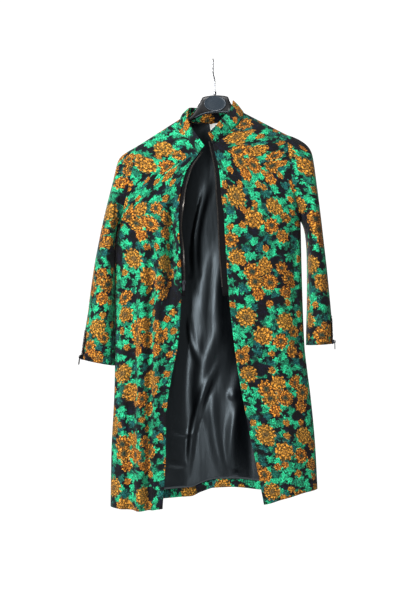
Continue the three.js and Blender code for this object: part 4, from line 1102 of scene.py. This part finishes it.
# The rounded ends: each cap's share of the end ring and how far out it lies
END_CAPS = ((0.85, 1.6), (0.5, 2.8))
for end, inwards in ((0, 1), (-1, -1)):
    middle = rings[end].mean(axis=0)
    caps = [middle + (rings[end] - middle) * share - np.array([inwards * out, 0, 0])
            for share, out in END_CAPS]
    rings = (caps[::-1] + rings) if end == 0 else rings + caps
dress(tube("hanger_shape", rings, (PLASTIC,)), ["hanger_body"])

# The boss and the lower rim wear the black plastic with its sheen painted into a blue-grey colour
boss_turn = np.linspace(0, 2 * np.pi, 72, endpoint=False)
BOSS_RINGS = table("size y", (1.02, -6.0), (1.0, -7.6), (0.975, -8.4), (0.94, -8.5), (0.90, -8.1),
                   (0.86, -7.9), (0.6, -8.3), (0.3, -8.5), (0.02, -8.6))
boss = [xyz(BOSS["x"] + BOSS["half_width"] * r["size"] * np.cos(boss_turn), r["y"],
            BOSS["z"] + BOSS["half_height"] * r["size"] * np.sin(boss_turn)) for r in BOSS_RINGS]
for side, order in ((1, 1), (-1, -1)):
    turned_over = [ring * [1, side, 1] for ring in boss][::order]
    name = f"hanger_boss_{'front' if side > 0 else 'back'}"
    dress(tube(name, turned_over, (SMOOTH_PLASTIC_PAINTED_SHEEN,)), [])

RIM = {"from": -44, "to": 46, "y": -5.6, "above_low": 2.6, "half_deep": 1.7, "half_tall": 1.9}
rim_x = np.linspace(RIM["from"], RIM["to"], 60)
rim_low = read(HANGER, "x", rim_x, "low")
rim_turn = np.linspace(0, 2 * np.pi, 12, endpoint=False)
rim = [xyz(x, RIM["y"] + RIM["half_deep"] * np.cos(rim_turn),
           z + RIM["above_low"] + RIM["half_tall"] * np.sin(rim_turn)) for x, z in zip(rim_x, rim_low)]
dress(tube("hanger_rim", rim, (SMOOTH_PLASTIC_PAINTED_SHEEN,)), [])


# The hook: the wire's path from its tip over the rail and down into the hanger

angles = np.linspace(HOOK_ARC["from"], HOOK_ARC["to"], 72)
arc = xyz(0, HOOK_BEND * np.cos(angles), WIRE - HOOK_BEND + HOOK_BEND * np.sin(angles))
last, leave = arc[-1], np.array([0, -math.sin(HOOK_ARC["to"]), math.cos(HOOK_ARC["to"])])
foot = np.array([SHANK_X, 0, last[2] - 26])
t = np.linspace(0, 1, 26)[1:, None]
bend = ((1 - t) ** 3 * last + 3 * (1 - t) ** 2 * t * (last + leave * 11)
        + 3 * (1 - t) * t ** 2 * (foot + [0, 0, 13]) + t ** 3 * foot)
shank = [(SHANK_X, 0, z) for z in (-70, -78, -78.5, -79, -79.4, -85.6, -86, -86.5, PLATE_TOP - 2)]
shank = np.array([p for p in shank if p[2] < foot[2] - 1], float)
path = np.concatenate([arc, bend, shank])
in_ferrule = (path[:, 2] <= FERRULE["top"]) & (path[:, 2] >= FERRULE["low"]) & (path[:, 0] > SHANK_X - 0.01)
radius = np.where(in_ferrule, FERRULE["radius"], WIRE)
radius[0] = WIRE * 0.75
along = unit(np.gradient(path, axis=0))
other = unit(np.cross(along, [1.0, 0, 0]))
first = unit(np.cross(other, along))
wire_turn = np.linspace(0, 2 * np.pi, 20, endpoint=False)[None, :, None]
round_wire = first[:, None] * np.cos(wire_turn) + other[:, None] * np.sin(wire_turn)
rings = path[:, None] + radius[:, None, None] * round_wire
tip = path[0] - along[0] * 1.0
rings = np.concatenate([(tip + (rings[0] - path[0]) * 0.5)[None], rings])
dress(tube("hook_wire", rings, (STEEL,)), ["hanger_hook"])

for name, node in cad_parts.items():
    if name.startswith("zip_") and "tape" not in name:
        node.data.materials.clear()
        node.data.materials.append(BLACK_METAL)


# Camera, floor and light

camera = bpy.data.objects.new("camera", bpy.data.cameras.new("camera"))
bpy.context.scene.collection.objects.link(camera)
CAMERA_AWAY, HALF_VIEW = 2.85, 0.7625
camera.location = (-0.025, -CAMERA_AWAY, -0.612)
camera.rotation_euler = (math.pi / 2, 0, 0)
camera.data.sensor_fit = "VERTICAL"
camera.data.angle = 2 * math.atan(HALF_VIEW / CAMERA_AWAY)
bpy.context.scene.camera = camera

floor_shader = Shader("pale_floor")
FLOOR = floor_shader.surface(rgb("F4F4F4"), 0.9)
FLOOR_Z = -1650
floor_points = np.array([(-1000, -1000, FLOOR_Z), (1000, -1000, FLOOR_Z), (1000, 950, FLOOR_Z),
                         (-1000, 950, FLOOR_Z)])
floor = mesh_object("floor", floor_points, [(0, 1, 2, 3)], None, [0], (FLOOR,))

world = bpy.data.worlds.new("studio")
world.use_nodes = True
bpy.context.scene.world = world
tree = world.node_tree
seen, ambient = tree.nodes["Background"], tree.nodes.new("ShaderNodeBackground")
seen.inputs["Strength"].default_value = 1.1
ambient.inputs["Strength"].default_value = 0.24
for background in (seen, ambient):
    background.inputs["Color"].default_value = (1, 1, 1, 1)
path_kind, chosen = tree.nodes.new("ShaderNodeLightPath"), tree.nodes.new("ShaderNodeMixShader")
tree.links.new(path_kind.outputs["Is Camera Ray"], chosen.inputs["Fac"])
tree.links.new(ambient.outputs["Background"], chosen.inputs[1])
tree.links.new(seen.outputs["Background"], chosen.inputs[2])
tree.links.new(chosen.outputs["Shader"], tree.nodes["World Output"].inputs["Surface"])


def softbox(name, place, target, size, power):
    data = bpy.data.lights.new(name, "AREA")
    data.shape = "RECTANGLE"
    data.size, data.size_y = size
    data.energy = power
    lamp = bpy.data.objects.new(name, data)
    lamp.location = place
    lamp.rotation_euler = (Vector(target) - Vector(place)).to_track_quat("-Z", "Y").to_euler()
    bpy.context.scene.collection.objects.link(lamp)


softbox("key", (-1.7, -2.1, 0.45), (0, 0, -0.6), (0.7, 1.2), 84)
softbox("near_left", (-0.85, -2.75, -0.55), (0, 0, -0.6), (0.3, 1.3), 26)
softbox("top", (-0.2, -1.5, 1.5), (0, 0, -0.5), (0.9, 0.6), 30)
softbox("back_left", (-0.9, 2.5, 0.3), (0, 0, -0.6), (0.8, 1.2), 55)
softbox("back_right", (0.8, 2.7, 0.1), (0, 0, -0.6), (0.8, 1.2), 35)
bpy.context.scene.view_settings.view_transform = "Standard"


# The cut of each sheet that shows, in metres: its widest width, its length and the area inside its outline
CUTS = table("piece width length area rests",
             ("cloth_back", 0.577, 1.030, 0.4714, "hanger_shape"),
             ("cloth_front_right", 0.252, 1.013, 0.1875, "hanger_shape"),
             ("cloth_front_left", 0.221, 1.032, 0.1848, "hanger_shape"),
             ("cloth_sleeve_right", 0.280, 0.565, 0.1300, "cloth_front_right"),
             ("cloth_sleeve_left", 0.280, 0.558, 0.1285, "cloth_front_left"),
             ("cloth_collar", 0.462, 0.040, 0.0147, "cloth_back"),
             ("cloth_hem_facing", 0.550, 0.025, 0.0123, "cloth_back"),
             ("satin_lining_back", 0.550, 0.974, 0.4357, "cloth_back"),
             ("tape_front_right", 0.018, 0.367, 0.00466, "cloth_front_right"),
             ("tape_front_left", 0.021, 0.380, 0.00678, "cloth_front_left"),
             ("tape_cuff_right", 0.0149, 0.0741, 0.00108, "cloth_sleeve_right"),
             ("tape_cuff_left", 0.0141, 0.0692, 0.00097, "cloth_sleeve_left"),
             ("label_tape", 0.038, 0.019, 0.00072, "satin_lining_back"))


bpy.context.view_layer.update()
